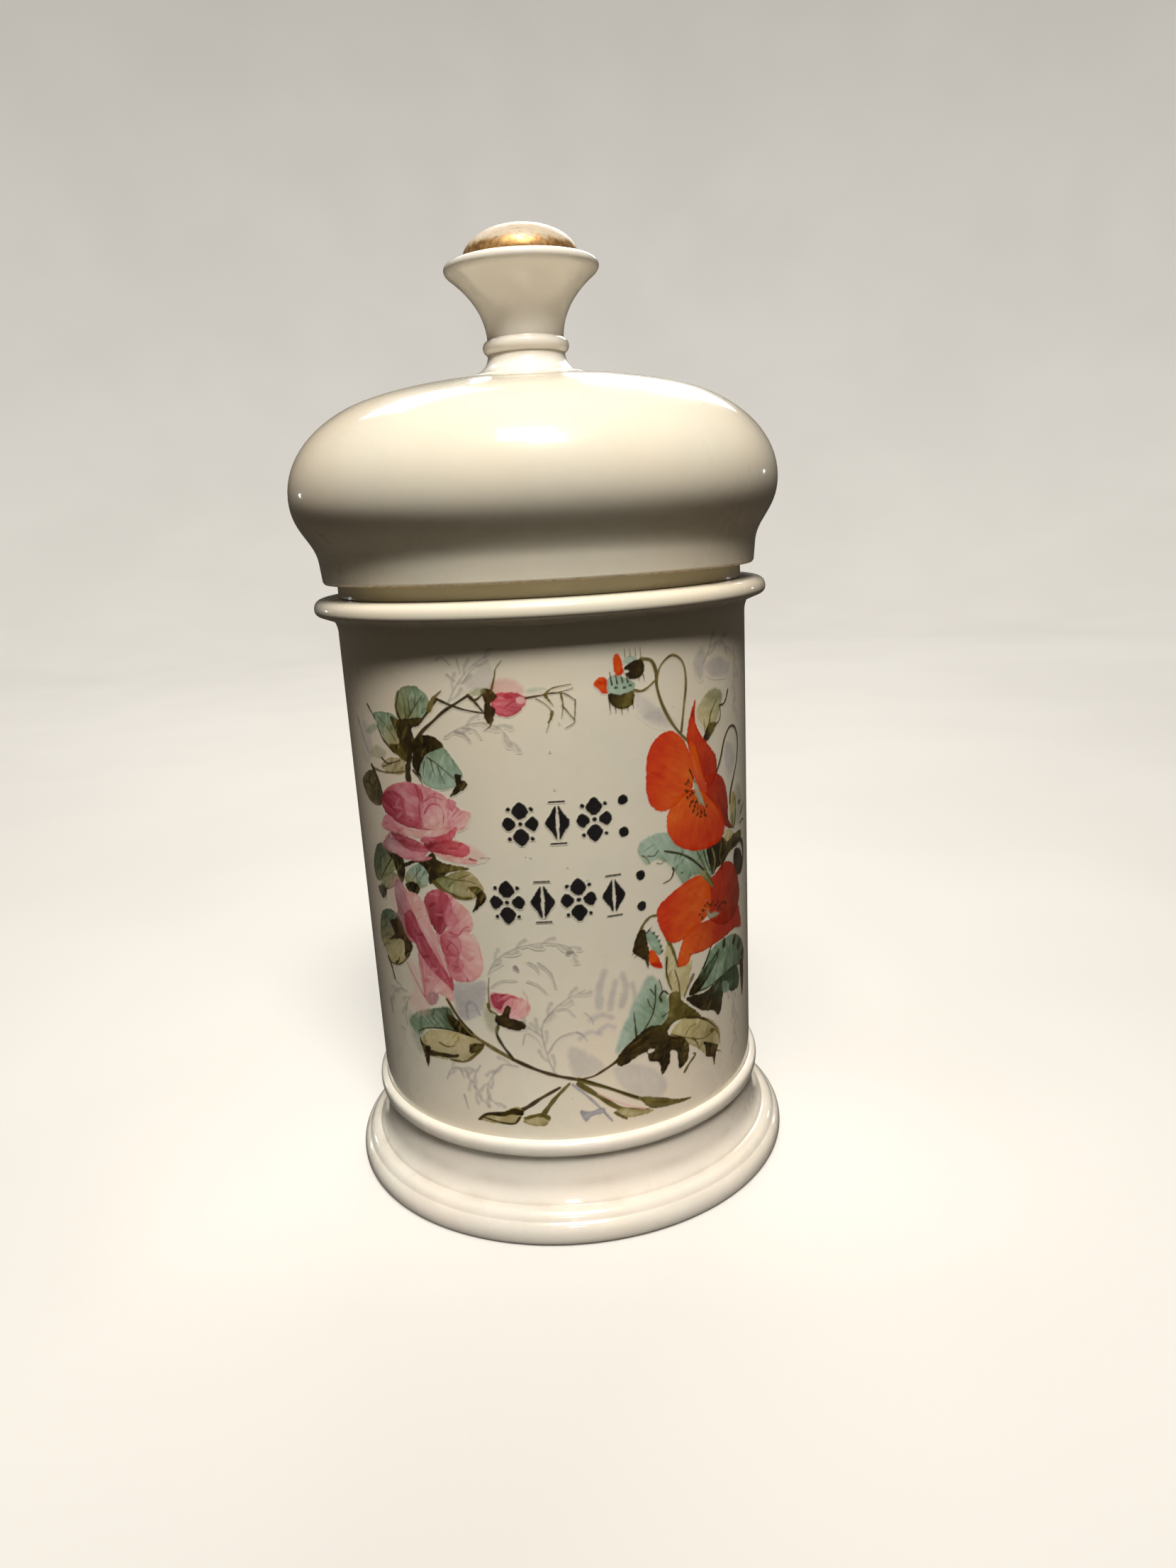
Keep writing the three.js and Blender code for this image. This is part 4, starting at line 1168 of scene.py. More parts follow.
def rosebuds(art):
    """The two pink buds and the twiggy tendrils of the upper one."""
    wash, stroke = art.wash, art.stroke
    wash([(-14, 148.6), (-12, 151), (-7.4, 150.4), (-5.6, 147.6), (-9, 147), (-13, 147)], CORAL, edge=1.0,
         strength=0.4, pool=0)
    wash([(-13.6, 145.8), (-12.2, 147.4), (-8, 147.6), (-5.2, 146.4), (-5.4, 144.6), (-7.8, 142.2),
          (-10.6, 141.7), (-13, 142.8)], CORAL, to=ROSE, along=((-12, 146), (-7, 143)), root=(-14, 145),
         **ROSE_PETAL, pool=0.25, **PETAL_TOUCHES)
    wash([(-7.4, 146.4), (-5.4, 146.2), (-5.8, 144.8), (-7.4, 145)], BLUSH, strength=0.85)
    wash([(-16, 148.6), (-13.2, 148.3), (-12.2, 146.6), (-13.8, 145), (-12.7, 143.4), (-14.2, 139.8),
          (-15.8, 142), (-15.4, 145)], BROWN, strength=0.99)
    stroke([(-13.6, 147.6), (-12.4, 151.6), (-12, 153.4), (-10.4, 155.4)], 0.7, OLIVE, to_width=0.2)
    stroke([(-14, 140.6), (-14.4, 139.4), (-15.8, 138.4)], 0.6, OLIVE, to_width=0.2)
    wash([(-19.4, 147.4), (-17, 148.8), (-14.8, 148.4), (-16.4, 147)], SAGE, edge=0.5, strength=0.6)
    stroke([(-5.2, 146.1), (-1.4, 146.6), (1.6, 147), (4.2, 146.6), (6.6, 144.9)], 0.65, BROWN,
           to_width=0.35)
    stroke([(-4.4, 147.8), (-1, 148.2), (0.4, 147.2)], 1.4, TEAL_PALE, to_width=0.4, strength=0.5, soft=0.4)
    stroke([(-0.6, 146.8), (1.4, 148.2), (5.8, 148.9)], 0.7, OLIVE, to_width=0.2)
    stroke([(2.2, 147), (4.4, 147.4), (6.2, 147.9)], 0.4, OLIVE, to_width=0.2)
    stroke([(-0.6, 146.6), (0.2, 145.4), (1.2, 144)], 1.1, OLIVE, to_width=0.2)
    stroke([(-2.8, 145.9), (-0.4, 144.2), (0.8, 142.2), (0.1, 139.8), (-0.7, 137.6)], 0.35, OLIVE,
           to_width=0.2)
    stroke([(0.9, 142.4), (0.5, 140.8), (-0.2, 139.8)], 1.1, OLIVE, to_width=0.4)
    stroke([(3.2, 146.8), (3.6, 144), (3.2, 141)], 0.7, OLIVE, to_width=0.2)
    stroke([(3.4, 143.8), (5, 141.6), (6.2, 139.6), (4, 138.2)], 0.5, OLIVE, to_width=0.25)
    stroke([(6.6, 145), (6.4, 142), (6.2, 139.6)], 0.45, OLIVE, to_width=0.3)

    wash([(-20, 67.8), (-18.4, 69), (-13.4, 68.3), (-10.4, 67.2), (-9.4, 64.8), (-10.8, 62.4), (-14, 61.6),
          (-17, 62.8), (-19.6, 64.8)], PINK, to=BLUSH, along=((-17, 63), (-10, 64)), root=(-16, 60),
         **ROSE_PETAL, edge=0.35, marks=5, lean=0.5)
    wash([(-19.9, 67.8), (-18, 68.6), (-14, 68.2), (-16, 66.4), (-17.4, 64.2), (-19.2, 65)], ROSE,
         to=CRIMSON, along=((-15, 68), (-19, 65)), strength=0.96, root=(-16, 60), **ROSE_PETAL,
         **PETAL_TOUCHES)
    stroke([(-14, 68), (-12.4, 67.4)], 0.9, CORAL, to_width=0.3)
    stroke([(-11, 69.6), (-10, 68), (-10, 66)], 0.3, ROSE, to_width=0.2, strength=0.5)
    wash([(-18.8, 62.4), (-17.4, 62.6), (-15.6, 65.4), (-14.6, 64.6), (-15, 62), (-12, 61.2), (-10.8, 59.6),
          (-13, 58.4), (-17, 59.2), (-19, 60.2)], OLIVE_DARK, strength=0.99)
    stroke([(-20.8, 65.4), (-20.4, 63.6), (-18.6, 62.8)], 1.1, OLIVE, to_width=0.5)


def poppy_leaves(art):
    """The leaves round the poppies, down the right side."""
    wash, stroke, dab = art.wash, art.stroke, art.dab
    wash([(20.8, 105), (22.6, 107.4), (27, 108.4), (30.4, 107.4), (33, 104), (38, 102), (43, 101),
          (46, 98.6), (46.4, 92.4), (42.6, 93.4), (38, 94.2), (34.6, 92.8), (32.6, 95.6), (29.6, 99.6),
          (26, 101.4), (23.4, 100.6), (21.6, 102.6)], TEAL_PALE, to=TEAL, along=((26, 106), (44, 95)),
         strength=0.96, edge=0.45, pool=0.1, **POPPY_LEAF)
    stroke([(28.8, 103.1), (34.4, 101), (39.6, 97.4), (45, 92)], 0.65, OLIVE_DARK, to_width=0.9,
           strength=0.96)
    stroke([(39.6, 101), (41.6, 97.6), (44, 93.4)], 0.5, OLIVE, to_width=0.6)
    stroke([(42.6, 100), (43.6, 97), (45.2, 93.6)], 0.9, OLIVE_DARK, to_width=0.4, strength=0.85)
    stroke([(22, 103.2), (23.2, 102.4), (24.2, 100.6)], 0.55, OLIVE, to_width=0.25)
    stroke([(23.6, 102.8), (25.4, 102.5), (26.8, 103.6)], 0.35, OLIVE_DARK, to_width=0.3)
    stroke([(26.2, 100.4), (27.6, 100), (28.8, 100.8)], 0.35, OLIVE, to_width=0.2)
    stroke([(28, 94.5), (30.4, 95.2), (31.4, 97), (31.2, 98)], 0.35, BROWN, to_width=0.8)
    dab(34.2, 96, 0.4, TEAL_DARK)

    wash([(44, 101), (48, 102), (52, 101.4), (58, 100.6), (65, 100), (64.6, 97), (60, 96.4), (55.4, 96),
          (52, 94), (48.6, 93.6), (46.4, 92.4), (44.6, 96.6)], OLIVE_DARK, to=OLIVE,
         along=((50, 95), (60, 100)), strength=0.99, grain=0.25, **POPPY_LEAF)
    wash([(52, 102.4), (54.4, 103), (58.4, 101.2), (56, 99.6), (53.4, 100)], STRAW, strength=0.96, pool=0.3,
         **POPPY_LEAF)
    stroke([(58, 97.4), (63, 97.6), (66.6, 95.6), (67.4, 91.6), (64.6, 88.4), (61, 88.8)], 1.6, OLIVE_DARK,
           to_width=2.6)
    wash([(59, 95.6), (64, 94.6), (66.6, 90), (62, 87.4), (58.6, 90)], OLIVE_DARK, strength=0.99,
         **POPPY_LEAF)
    stroke([(46.4, 99.6), (47.6, 96), (46.6, 92.6)], 0.7, SAGE, to_width=0.4, strength=0.96)
    stroke([(51, 99.8), (50, 96.4), (51.6, 92.6)], 0.9, OLIVE, to_width=0.3)
    wash([(60, 112.6), (64, 113.6), (67, 108), (65, 103.4), (61, 103)], SAGE, edge=1.4, strength=0.5,
         pool=0)
    dab(63.8, 108.4, 0.8, OLIVE_DARK, lean=0.3)
    stroke([(65, 104.6), (68, 106.4), (68.6, 107.6)], 1.0, OLIVE_DARK, to_width=0.5)
    stroke([(64.4, 102), (67, 102.6), (68.8, 102)], 0.9, OLIVE_DARK, to_width=0.4)
    wash([(56.2, 110.4), (58.4, 112.8), (60.4, 110.6), (60.8, 105), (59, 102), (56.8, 104.4)], STRAW,
         to=SAGE, along=((57, 110), (60, 103)), strength=0.96, **POPPY_LEAF)
    stroke([(60.3, 111), (60.5, 107), (59.6, 103)], 0.5, OLIVE_DARK, to_width=0.4)

    wash([(12.6, 50), (13.8, 55), (16.8, 61), (19.6, 66), (22.4, 70), (25, 68.4), (26.8, 65.4), (28.6, 61),
          (28, 57), (25.6, 55), (21, 54.8), (17, 52.4)], TEAL_PALE, to=TEAL, along=((16, 62), (27, 57)),
         strength=0.96, edge=0.8, pool=0.05)
    stroke([(17.9, 60.6), (18.2, 56), (18.4, 52)], 0.3, OLIVE_DARK, to_width=0.9)
    stroke([(24.5, 67), (24.3, 62.6), (23.2, 58.6), (20.6, 55)], 0.5, OLIVE_DARK, to_width=0.5)
    stroke([(22.9, 66.2), (24.2, 64.2)], 0.45, OLIVE_DARK, to_width=0.3)
    stroke([(22, 63.6), (22.6, 61.6), (23.8, 60)], 0.4, OLIVE_DARK, to_width=0.3)
    stroke([(25.7, 68.2), (26.3, 66), (26.6, 64.2)], 0.35, OLIVE_DARK, to_width=0.3)
    stroke([(26.2, 61.9), (25.8, 63.4), (27, 64.6), (28.4, 63.4)], 0.8, OLIVE_DARK, to_width=0.6)
    stroke([(26.4, 57.4), (28.4, 58.2)], 0.6, OLIVE_DARK, to_width=0.3, strength=0.85)

    wash([(27.8, 75), (29.6, 78), (32, 71), (34.6, 70), (37, 70.4), (36, 66.4), (34, 61.4), (31, 62.6),
          (29, 64.4), (27.6, 69)], STRAW, strength=0.85, edge=0.35, pool=0.15, **POPPY_LEAF)
    stroke([(28.4, 73.8), (28.1, 70), (28.6, 67), (29.6, 64.4)], 0.7, OLIVE_DARK, to_width=0.4)
    stroke([(30.8, 69.6), (32, 65.6), (32.4, 60.6)], 0.4, OLIVE_DARK, to_width=0.5)
    stroke([(28.6, 79.2), (30.4, 75.4), (32, 70.2)], 1.5, OLIVE, to_width=0.7, strength=0.96)
    stroke([(37.4, 66.2), (35.4, 63.6), (33.8, 60.8)], 1.5, STEM, to_width=0.5, strength=0.85)

    wash([(36, 61), (40, 66), (45, 71), (50, 72), (57, 71.6), (63, 68.4), (66.8, 63.6), (66, 59.6),
          (60, 60.6), (54, 61.4), (48, 61), (42, 60.2)], TEAL, to=TEAL_DARK, along=((50, 70), (62, 61)),
         strength=0.96, edge=0.35, **POPPY_LEAF)
    wash([(35.4, 60.8), (37.6, 64), (42, 66.6), (48.6, 70), (48, 67.6), (43.4, 63.4), (38.6, 60.6)],
         TEAL_DARK, to=OLIVE_DARK, along=((46, 68), (37, 62)), strength=0.99, **POPPY_LEAF)
    for s, z, lean, size in ((51.5, 70.6, 1.4, 1.1), (58, 69.4, 0.9, 1.2), (61.6, 66.6, 0.7, 1.3),
                             (65.4, 62.6, 0.4, 1.2)):
        dab(s, z, size, OLIVE_DARK, strength=0.96, lean=lean)
    for s in (46, 51, 57):
        stroke([(s, 61.4), (s + 1.4, 65), (s + 4, 69)], 0.7, TEAL_DARK, to_width=0.3, strength=0.6,
               soft=0.3)
    wash([(62.6, 61), (65.6, 60.4), (66.4, 56), (64.6, 49.8), (63.2, 55)], BROWN, strength=0.99,
         **POPPY_LEAF)
    wash([(34.6, 60.4), (42, 59.8), (50, 61.4), (58.6, 61.6), (61.8, 57), (60.6, 54), (56, 54.6),
          (51.2, 56.6), (49.4, 52), (47.6, 50.5), (45.4, 52.8), (41, 54.4), (37.4, 57)], TEAL_DARK,
         to=OLIVE_DARK, along=((52, 64), (44, 54)), strength=0.99, **POPPY_LEAF)
    wash([(50.4, 59.6), (53.4, 58.4), (54, 56), (51.4, 55.8), (50, 57.4)], TEAL, strength=0.96,
         **POPPY_LEAF)
    stroke([(41.2, 66.6), (43.4, 69.6), (45, 72)], 0.8, OLIVE_DARK, to_width=0.6)
    stroke([(36, 61.2), (44, 60.6), (52, 61.6), (60, 60.8)], 0.5, OLIVE_DARK, to_width=0.3)

    wash([(28.4, 50.4), (31, 54), (36, 54.7), (41, 52.6), (45.4, 49.6), (48.2, 46), (48.2, 42.6),
          (46, 39.4), (43.6, 39.4), (41, 41.6), (38, 44.4), (34.4, 46.8), (31, 48.8)], STRAW, to=CREAM_LEAF,
         along=((34, 54), (40, 44)), strength=0.96, pool=0.15, **POPPY_LEAF)
    stroke([(29, 51.4), (34.6, 48.6), (40.6, 46.3), (46.8, 46.9)], 0.5, OLIVE, to_width=0.35)
    stroke([(34.4, 54.8), (39, 53.1), (43, 50.6), (46.6, 47.2)], 1.1, OLIVE_DARK, to_width=0.35)
    stroke([(33.6, 49.4), (35.6, 51.4), (38, 51.6)], 0.4, OLIVE, to_width=0.25)
    stroke([(36.6, 47.8), (38.2, 45.8), (38.8, 43.6)], 0.7, OLIVE, to_width=0.3)
    dab(44.6, 47.2, 0.8, OLIVE, lean=-0.1)
    stroke([(46.6, 46.6), (48, 44.2), (48.4, 41.6)], 0.5, OLIVE, to_width=0.3)
    wash([(40.6, 45.2), (44, 43.6), (47.4, 41.6), (46.4, 40.2), (45.4, 36.2), (44.4, 39), (41.6, 40.4),
          (41.6, 43)], BROWN, to=OLIVE_DARK, along=((44, 38), (42, 44)), strength=0.99, **POPPY_LEAF)
    stroke([(46, 40.6), (49, 38.9)], 0.6, BROWN, to_width=0.2)
    stroke([(33.2, 38.9), (35, 40.8), (37.4, 42.6), (36.6, 43.2)], 1.1, OLIVE, to_width=0.6)

    wash([(12.4, 48), (14, 46), (20.6, 48.6), (22, 45.6), (24.8, 44.4), (25.6, 40.4), (28.2, 43.4),
          (28.6, 46.6), (30.8, 45.4), (31.4, 40.6), (34.4, 42.2), (35, 46.4), (33, 49.4), (29.6, 50.8),
          (27.8, 52.4), (30, 54.6), (34.6, 54.6), (40, 53.2), (35.4, 58), (32.8, 60.4), (32, 63),
          (28.8, 63.2), (28.4, 58.4), (26.4, 55.4), (22, 55.6), (18, 53.4), (14.4, 50.6)], OLIVE_DARK,
         to=OLIVE, along=((24, 48), (32, 60)), strength=0.99, grain=0.28, **POPPY_LEAF)
    stroke([(12, 47.4), (17, 50.4), (22, 53)], 0.8, OLIVE_DARK, to_width=1.6)
    dab(22.4, 48.5, 0.75, PORCELAIN, strength=0.99)
    stroke([(25.6, 54), (27.4, 50.6), (26.4, 45)], 0.5, BROWN, to_width=0.4)
    stroke([(29, 50), (32, 47.6), (32.6, 43)], 0.5, BROWN, to_width=0.4)


def poppy_buds(art):
    """The hairy poppy buds and their looping stalks."""
    wash, stroke, dab = art.wash, art.stroke, art.dab
    stroke([(23.8, 153.4), (26.6, 152.6), (27.9, 149.6), (28, 146), (29.4, 141.4), (32, 136.6), (35, 133),
            (38.4, 130)], 1.2, OLIVE, to_width=0.95)
    stroke([(27.8, 147.4), (29.4, 151.2), (33, 153.3), (36.4, 151), (37.3, 146), (36.4, 140),
            (35.3, 133.6)], 0.65, STEM, to_width=1.0)
    stroke([(21.2, 146), (24, 145.5), (27.6, 147.6)], 0.95, STEM, to_width=0.6)
    wash([(11.2, 148.6), (13, 150), (14.6, 149.2), (15.2, 146.4), (13.6, 145.9), (12, 147.2)], POPPY_LIGHT,
         to=POPPY, along=((12, 149), (15, 147)), strength=0.99)
    stroke([(12.4, 148.8), (14, 148.2)], 1.0, POPPY_DEEP, to_width=0.5, strength=0.85)
    wash([(14.8, 149.4), (17, 150), (20, 148.8), (21.8, 147.6), (21.2, 145.8), (18, 145.1), (15, 145.7)],
         TEAL_PALE, strength=0.96)
    wash([(14.8, 145.8), (18, 145.2), (21.4, 145.7), (21.2, 142.6), (19, 141.6), (16.4, 142), (14.9, 144)],
         OLIVE, to=OLIVE_DARK, along=((20, 142), (15, 145)), strength=0.99)
    for s, low, high in ((15, 144, 140.8), (16.4, 142.6, 140.8), (18, 142, 140.2), (19.6, 142, 140.8),
                         (21, 143.6, 141.4)):
        stroke([(s, low), (s + 0.2, high)], 0.5, OLIVE_DARK, to_width=0.15)
    for s, low, high in ((15.4, 147.8, 150.9), (16.8, 148, 150.2), (18.2, 148.2, 150), (19.6, 148, 149.6)):
        stroke([(s + 0.4, low), (s, high)], 0.6, OLIVE_DARK, to_width=0.25)
    for s, z in ((19, 146.8), (20.6, 147.2), (16.8, 147)):
        dab(s, z, 0.38, OLIVE_DARK)
    wash([(16.2, 153), (16.8, 155), (18.1, 154.9), (18.8, 152), (18.8, 150.4), (17, 150)], POPPY_LIGHT,
         to=POPPY, along=((18, 154), (17, 150)), strength=0.99)
    wash([(18.8, 153), (20.4, 154.4), (22.6, 153.6), (21, 152.4)], TEAL_PALE, strength=0.85)
    wash([(19, 150.6), (20, 152.4), (23.8, 153.4), (24.6, 150.6), (23.4, 149), (20.6, 148.7)], OLIVE_DARK,
         strength=0.99)
    dab(19.6, 150.7, 0.5, PORCELAIN)
    for s in (19.5, 20.9, 22.3, 23.7):
        stroke([(s, 154.2), (s - 0.1, 156.2)], 0.35, OLIVE, to_width=0.15, strength=0.85)
    for s in (22.8, 24.2):
        stroke([(s, 149.4), (s + 0.3, 148)], 0.45, OLIVE_DARK, to_width=0.15)

    wash([(40.8, 137.4), (43.6, 141), (48, 142.8), (52.4, 141.2), (51.8, 137.6), (49.4, 134), (46, 131.8),
          (43, 134)], STRAW, to=SAGE, along=((44, 135), (50, 142)), strength=0.85, edge=0.6, pool=0.1)
    wash([(43.2, 129.6), (44.4, 132.2), (46.2, 134), (49.4, 133.4), (47.4, 131), (45, 129.4)], OLIVE_DARK,
         to=OLIVE, along=((44, 130), (48, 133)), strength=0.99)
    stroke([(46, 133), (46.8, 136.4), (49.6, 139.6)], 0.8, OLIVE, to_width=0.3)
    stroke([(47, 132.8), (50.4, 133.6), (51.6, 135.6), (51.1, 137.6)], 0.8, OLIVE, to_width=0.4)
    stroke([(51, 137.8), (53.6, 138), (55, 139.4), (56, 141.2)], 0.6, OLIVE_DARK, to_width=0.9)
    stroke([(44.2, 132), (43.8, 135.4)], 0.35, OLIVE, to_width=0.2)
    stroke([(48.8, 119.8), (51.2, 123.4), (53.6, 128.4), (57, 131), (60.6, 130.2), (62.9, 126.4), (62, 121),
            (59.4, 117), (57, 113), (56.4, 110)], 0.85, BROWN, to_width=1.1)

    stroke([(25.8, 86.2), (23.8, 86.3), (21.8, 84.8), (20.6, 82.8)], 0.8, STEM, to_width=1.0)
    wash([(20.4, 83), (19, 80.6), (18.4, 77.6), (20.4, 75.6), (21.8, 74.2), (22.6, 72.2), (23.1, 76),
          (22.6, 79.4), (22.2, 82.8)], OLIVE_DARK, to=BROWN, along=((20, 82), (22, 74)), strength=0.99)
    wash([(22.3, 82.2), (24.4, 82), (26.6, 78), (27.1, 75.8), (25.6, 75.2), (23.4, 78)], TEAL_PALE, to=TEAL,
         along=((24, 82), (26, 76)), strength=0.96)
    for s, z in ((23.2, 82.7), (24.6, 81.6), (25.6, 80.4), (26.2, 79), (26.6, 77.4), (26.9, 75.9)):
        dab(s, z, 0.36, OLIVE_DARK, lean=0.5)
    stroke([(22.4, 82), (24, 83.4)], 0.4, OLIVE_DARK, to_width=0.2)
    wash([(23.3, 77), (24.8, 76.4), (26.2, 73.6), (27, 71.2), (24.8, 71.8), (23, 73.4)], POPPY_LIGHT,
         to=POPPY, along=((24, 76), (26, 72)), strength=0.99)
    stroke([(23.8, 73), (25, 72.6), (26.2, 71.8)], 1.1, POPPY_DEEP, to_width=0.5, strength=0.85)
    for s, z in ((18.8, 79), (18.6, 77.4), (19.2, 76.4)):
        stroke([(s + 0.4, z + 0.3), (s - 0.5, z - 0.5)], 0.4, OLIVE_DARK, to_width=0.15)


def stamens(art, ring, heart):
    """Dark stamens round a pale seed head: a filament towards the heart and an anther at its end."""
    for i, (s, z) in enumerate(ring):
        inner = (s + 0.45 * (heart[0] - s), z + 0.45 * (heart[1] - z))
        art.stroke([inner, (s, z)], 0.22, POPPY_SHADE, to_width=0.3, strength=0.85)
        art.dab(s, z, 0.38 + 0.08 * (i % 3), BROWN, lean=1.3 * i)


def upper_poppy(art):
    """The upper poppy: five petals about a pale seed head."""
    wash, stroke, dab = art.wash, art.stroke, art.dab
    heart = (41, 116.5)
    wash([(44.6, 120), (49, 119.9), (53, 117), (55, 111), (55.2, 106), (58.4, 102.2), (52.6, 104.6),
          (49, 109.4), (45, 114.4)], POPPY_DEEP, to=POPPY_SHADE, along=((47, 118), (54, 106)), root=heart,
         **POPPY_PETAL, pool=0.22)
    wash([(37.4, 129.6), (37.6, 134.6), (39, 138.4), (40.6, 141), (40.2, 136), (42.4, 131.6), (46.4, 127.4),
          (48.8, 124.6), (49.2, 120.6), (45.4, 117), (42, 122)], POPPY_DEEP, to=POPPY,
         along=((48, 121), (39, 137)), root=heart, **POPPY_PETAL, pool=0.25)
    dab(39.3, 137.4, 0.7, POPPY_SHADE, strength=0.6, lean=1.2)
    wash([(24, 124), (24.8, 129.8), (27.6, 133.2), (31.4, 134.4), (35, 132.4), (37.8, 128), (39.4, 121),
          (37.6, 117), (31, 114.2), (28, 113.8), (25.4, 115.6), (24, 119.4)], POPPY, to=POPPY_LIGHT,
         along=((25, 124), (38, 118)), root=heart, **POPPY_PETAL, pool=0.2)
    wash([(37.8, 130.6), (40.4, 128.6), (42.6, 122), (44.8, 116), (43.2, 113.8), (40.4, 118.6),
          (38.6, 124)], POPPY_LIGHT, to=POPPY, along=((39, 129), (44, 115)), strength=0.96, root=heart,
         **POPPY_PETAL, pool=0.12)
    wash([(30.4, 113.6), (29.7, 109), (31.4, 105.2), (35, 102.4), (40, 100.7), (46, 100.4), (51, 101.2),
          (53, 105), (50, 110.4), (45, 114.8), (40, 117.6), (34, 116.9)], POPPY, to=POPPY_LIGHT,
         along=((42, 101), (38, 116)), root=heart, **POPPY_PETAL, pool=0.22)
    stroke([(44.2, 115.4), (48, 111.8), (51.4, 107.4), (53, 104.6)], 0.7, POPPY_DEEP, to_width=0.5,
           strength=0.85)
    stroke([(32, 114.4), (35.6, 116.8), (38.6, 117.6)], 0.45, POPPY_DEEP, to_width=0.3, strength=0.6)
    stroke([(40.6, 128.2), (43.2, 121.6), (45.2, 116.2)], 0.5, POPPY_DEEP, to_width=0.4, strength=0.85)
    stroke([(25.4, 124.4), (27.4, 123.6), (29, 122.4)], 0.7, POPPY_DEEP, to_width=0.3, strength=0.5,
           soft=0.3)
    wash([(39.4, 119.6), (40.4, 118.8), (43.4, 112.8), (41.8, 113), (39.8, 116)], SEED, strength=0.99,
         pool=0.3)
    stroke([(37.8, 123.2), (38.8, 121.2), (39.8, 119.4)], 0.7, BROWN, to_width=0.3)
    ring = ((36.4, 119.6), (37.2, 120.2), (36.6, 117.6), (37.8, 116.4), (36.8, 115.8), (38.4, 114.4),
            (37.6, 113.4), (39.4, 113), (38.9, 111.9), (40.6, 112.2), (40.4, 110.6), (42, 110.9),
            (41.7, 109.7), (43.2, 110.8), (43.6, 109.6), (44.3, 111.9), (38.6, 116.8), (40, 114))
    stamens(art, ring, heart)


def lower_poppy(art):
    """The lower poppy, seen from below its face."""
    wash, stroke = art.wash, art.stroke
    heart = (46, 82)
    wash([(32.4, 70), (31.8, 72), (33.4, 76), (36, 80), (46, 80), (60, 79.4), (63, 76), (64, 71.6),
          (58, 72.8), (52, 72.4), (46, 72.2), (41, 71.8), (37, 72.2), (35.4, 70)], POPPY_LIGHT,
         to=POPPY_DEEP, along=((34, 73), (52, 77)), root=heart, **POPPY_PETAL, pool=0.2)
    stroke([(36, 72.4), (42, 71.9), (47, 72.4), (54, 72.8)], 0.5, POPPY_SHADE, to_width=0.3, strength=0.6)
    wash([(43, 91.4), (47, 92), (52, 94.2), (57, 92.8), (60.6, 89), (62.4, 85), (63, 81.4), (60, 77.6),
          (54, 76), (48, 77.6), (43.4, 82)], POPPY_DEEP, to=POPPY_SHADE, along=((46, 88), (62, 80)),
         root=heart, **POPPY_PETAL, pool=0.2)
    wash([(25.6, 86), (26.8, 89), (31, 91.4), (36, 93.4), (40.4, 93.8), (43.8, 92), (45.4, 88), (44.4, 82),
          (38.4, 79.4), (33, 77.2), (29.4, 78), (27, 81.4)], POPPY, to=POPPY_LIGHT,
         along=((27, 86), (42, 83)), root=heart, **POPPY_PETAL, pool=0.2)
    wash([(40.8, 94.2), (43.6, 94.2), (46.8, 88.8), (44.8, 90)], SAGE, strength=0.96)
    stroke([(43.4, 93.6), (45.2, 91.4), (46.8, 89.2)], 0.45, OLIVE_DARK, to_width=0.2)
    stroke([(50.8, 92.6), (51.4, 94.4)], 0.9, OLIVE_DARK, to_width=0.4)
    wash([(43.4, 83.6), (45, 81.6), (47.2, 81.4), (49.4, 80.2), (46.6, 80), (44, 80.8)], SEED,
         strength=0.96, pool=0.3)
    ring = ((40.4, 82.6), (41.4, 81.4), (41.8, 83.4), (42.6, 84.6), (43.8, 84.9), (45, 84), (46.2, 84.6),
            (47.4, 83.2), (48.6, 83.8), (49.6, 82.2), (50.6, 83), (48.8, 81.8), (51.8, 82.8), (50.6, 81),
            (52.6, 82.4))
    stamens(art, ring, heart)
    stroke([(43, 86), (44.2, 85.6)], 0.6, CORAL, to_width=0.3, strength=0.85)


def ink_shape(art, s, z, points):
    """A solid black shape, its points given from its own middle."""
    art.wash([(s + x, z + y) for x, y in points], INK, strength=0.99, pool=0, grain=0.12, edge=0.12)


def ink_disc(art, s, z, radius):
    corners = 8
    turns = [i * math.tau / corners for i in range(corners)]
    ink_shape(art, s, z, [(radius * math.cos(turn), radius * math.sin(turn)) for turn in turns])


def floret(art, s, z, height, width):
    """Four solid tapered petals about a small disc."""
    tall, wide = 0.5 * height, 0.5 * width
    for side in (1, -1):
        ink_shape(art, s, z, [(0, side * tall), (0.46 * wide, side * 0.6 * tall),
                              (0.26 * wide, side * 0.3 * tall), (0, side * 0.2 * tall),
                              (-0.26 * wide, side * 0.3 * tall), (-0.46 * wide, side * 0.6 * tall)])
        ink_shape(art, s, z, [(side * wide, 0), (side * 0.72 * wide, 0.32 * tall),
                              (side * 0.36 * wide, 0.17 * tall), (side * 0.24 * wide, 0),
                              (side * 0.36 * wide, -0.17 * tall), (side * 0.72 * wide, -0.32 * tall)])
        for up in (1, -1):
            ink_disc(art, s + side * 0.62 * wide, z + up * 0.66 * tall, 0.55)
    ink_disc(art, s, z, 0.6)


def diamond(art, s, z, height, width):
    """A tall solid diamond with a clear slit and a hairline bar above and below."""
    tall, wide = 0.5 * height, 0.5 * width
    for side in (1, -1):
        ink_shape(art, s, z, [(side * 0.3, 0.74 * tall), (side * 0.55 * wide, 0.4 * tall), (side * wide, 0),
                              (side * 0.55 * wide, -0.4 * tall), (side * 0.3, -0.74 * tall),
                              (side * 0.42, 0)])
    for up in (1, -1):
        art.stroke([(s - 0.6 * wide, z + up * 0.93 * tall), (s + 0.6 * wide, z + up * 0.93 * tall)], 0.55,
                   INK, strength=0.99)


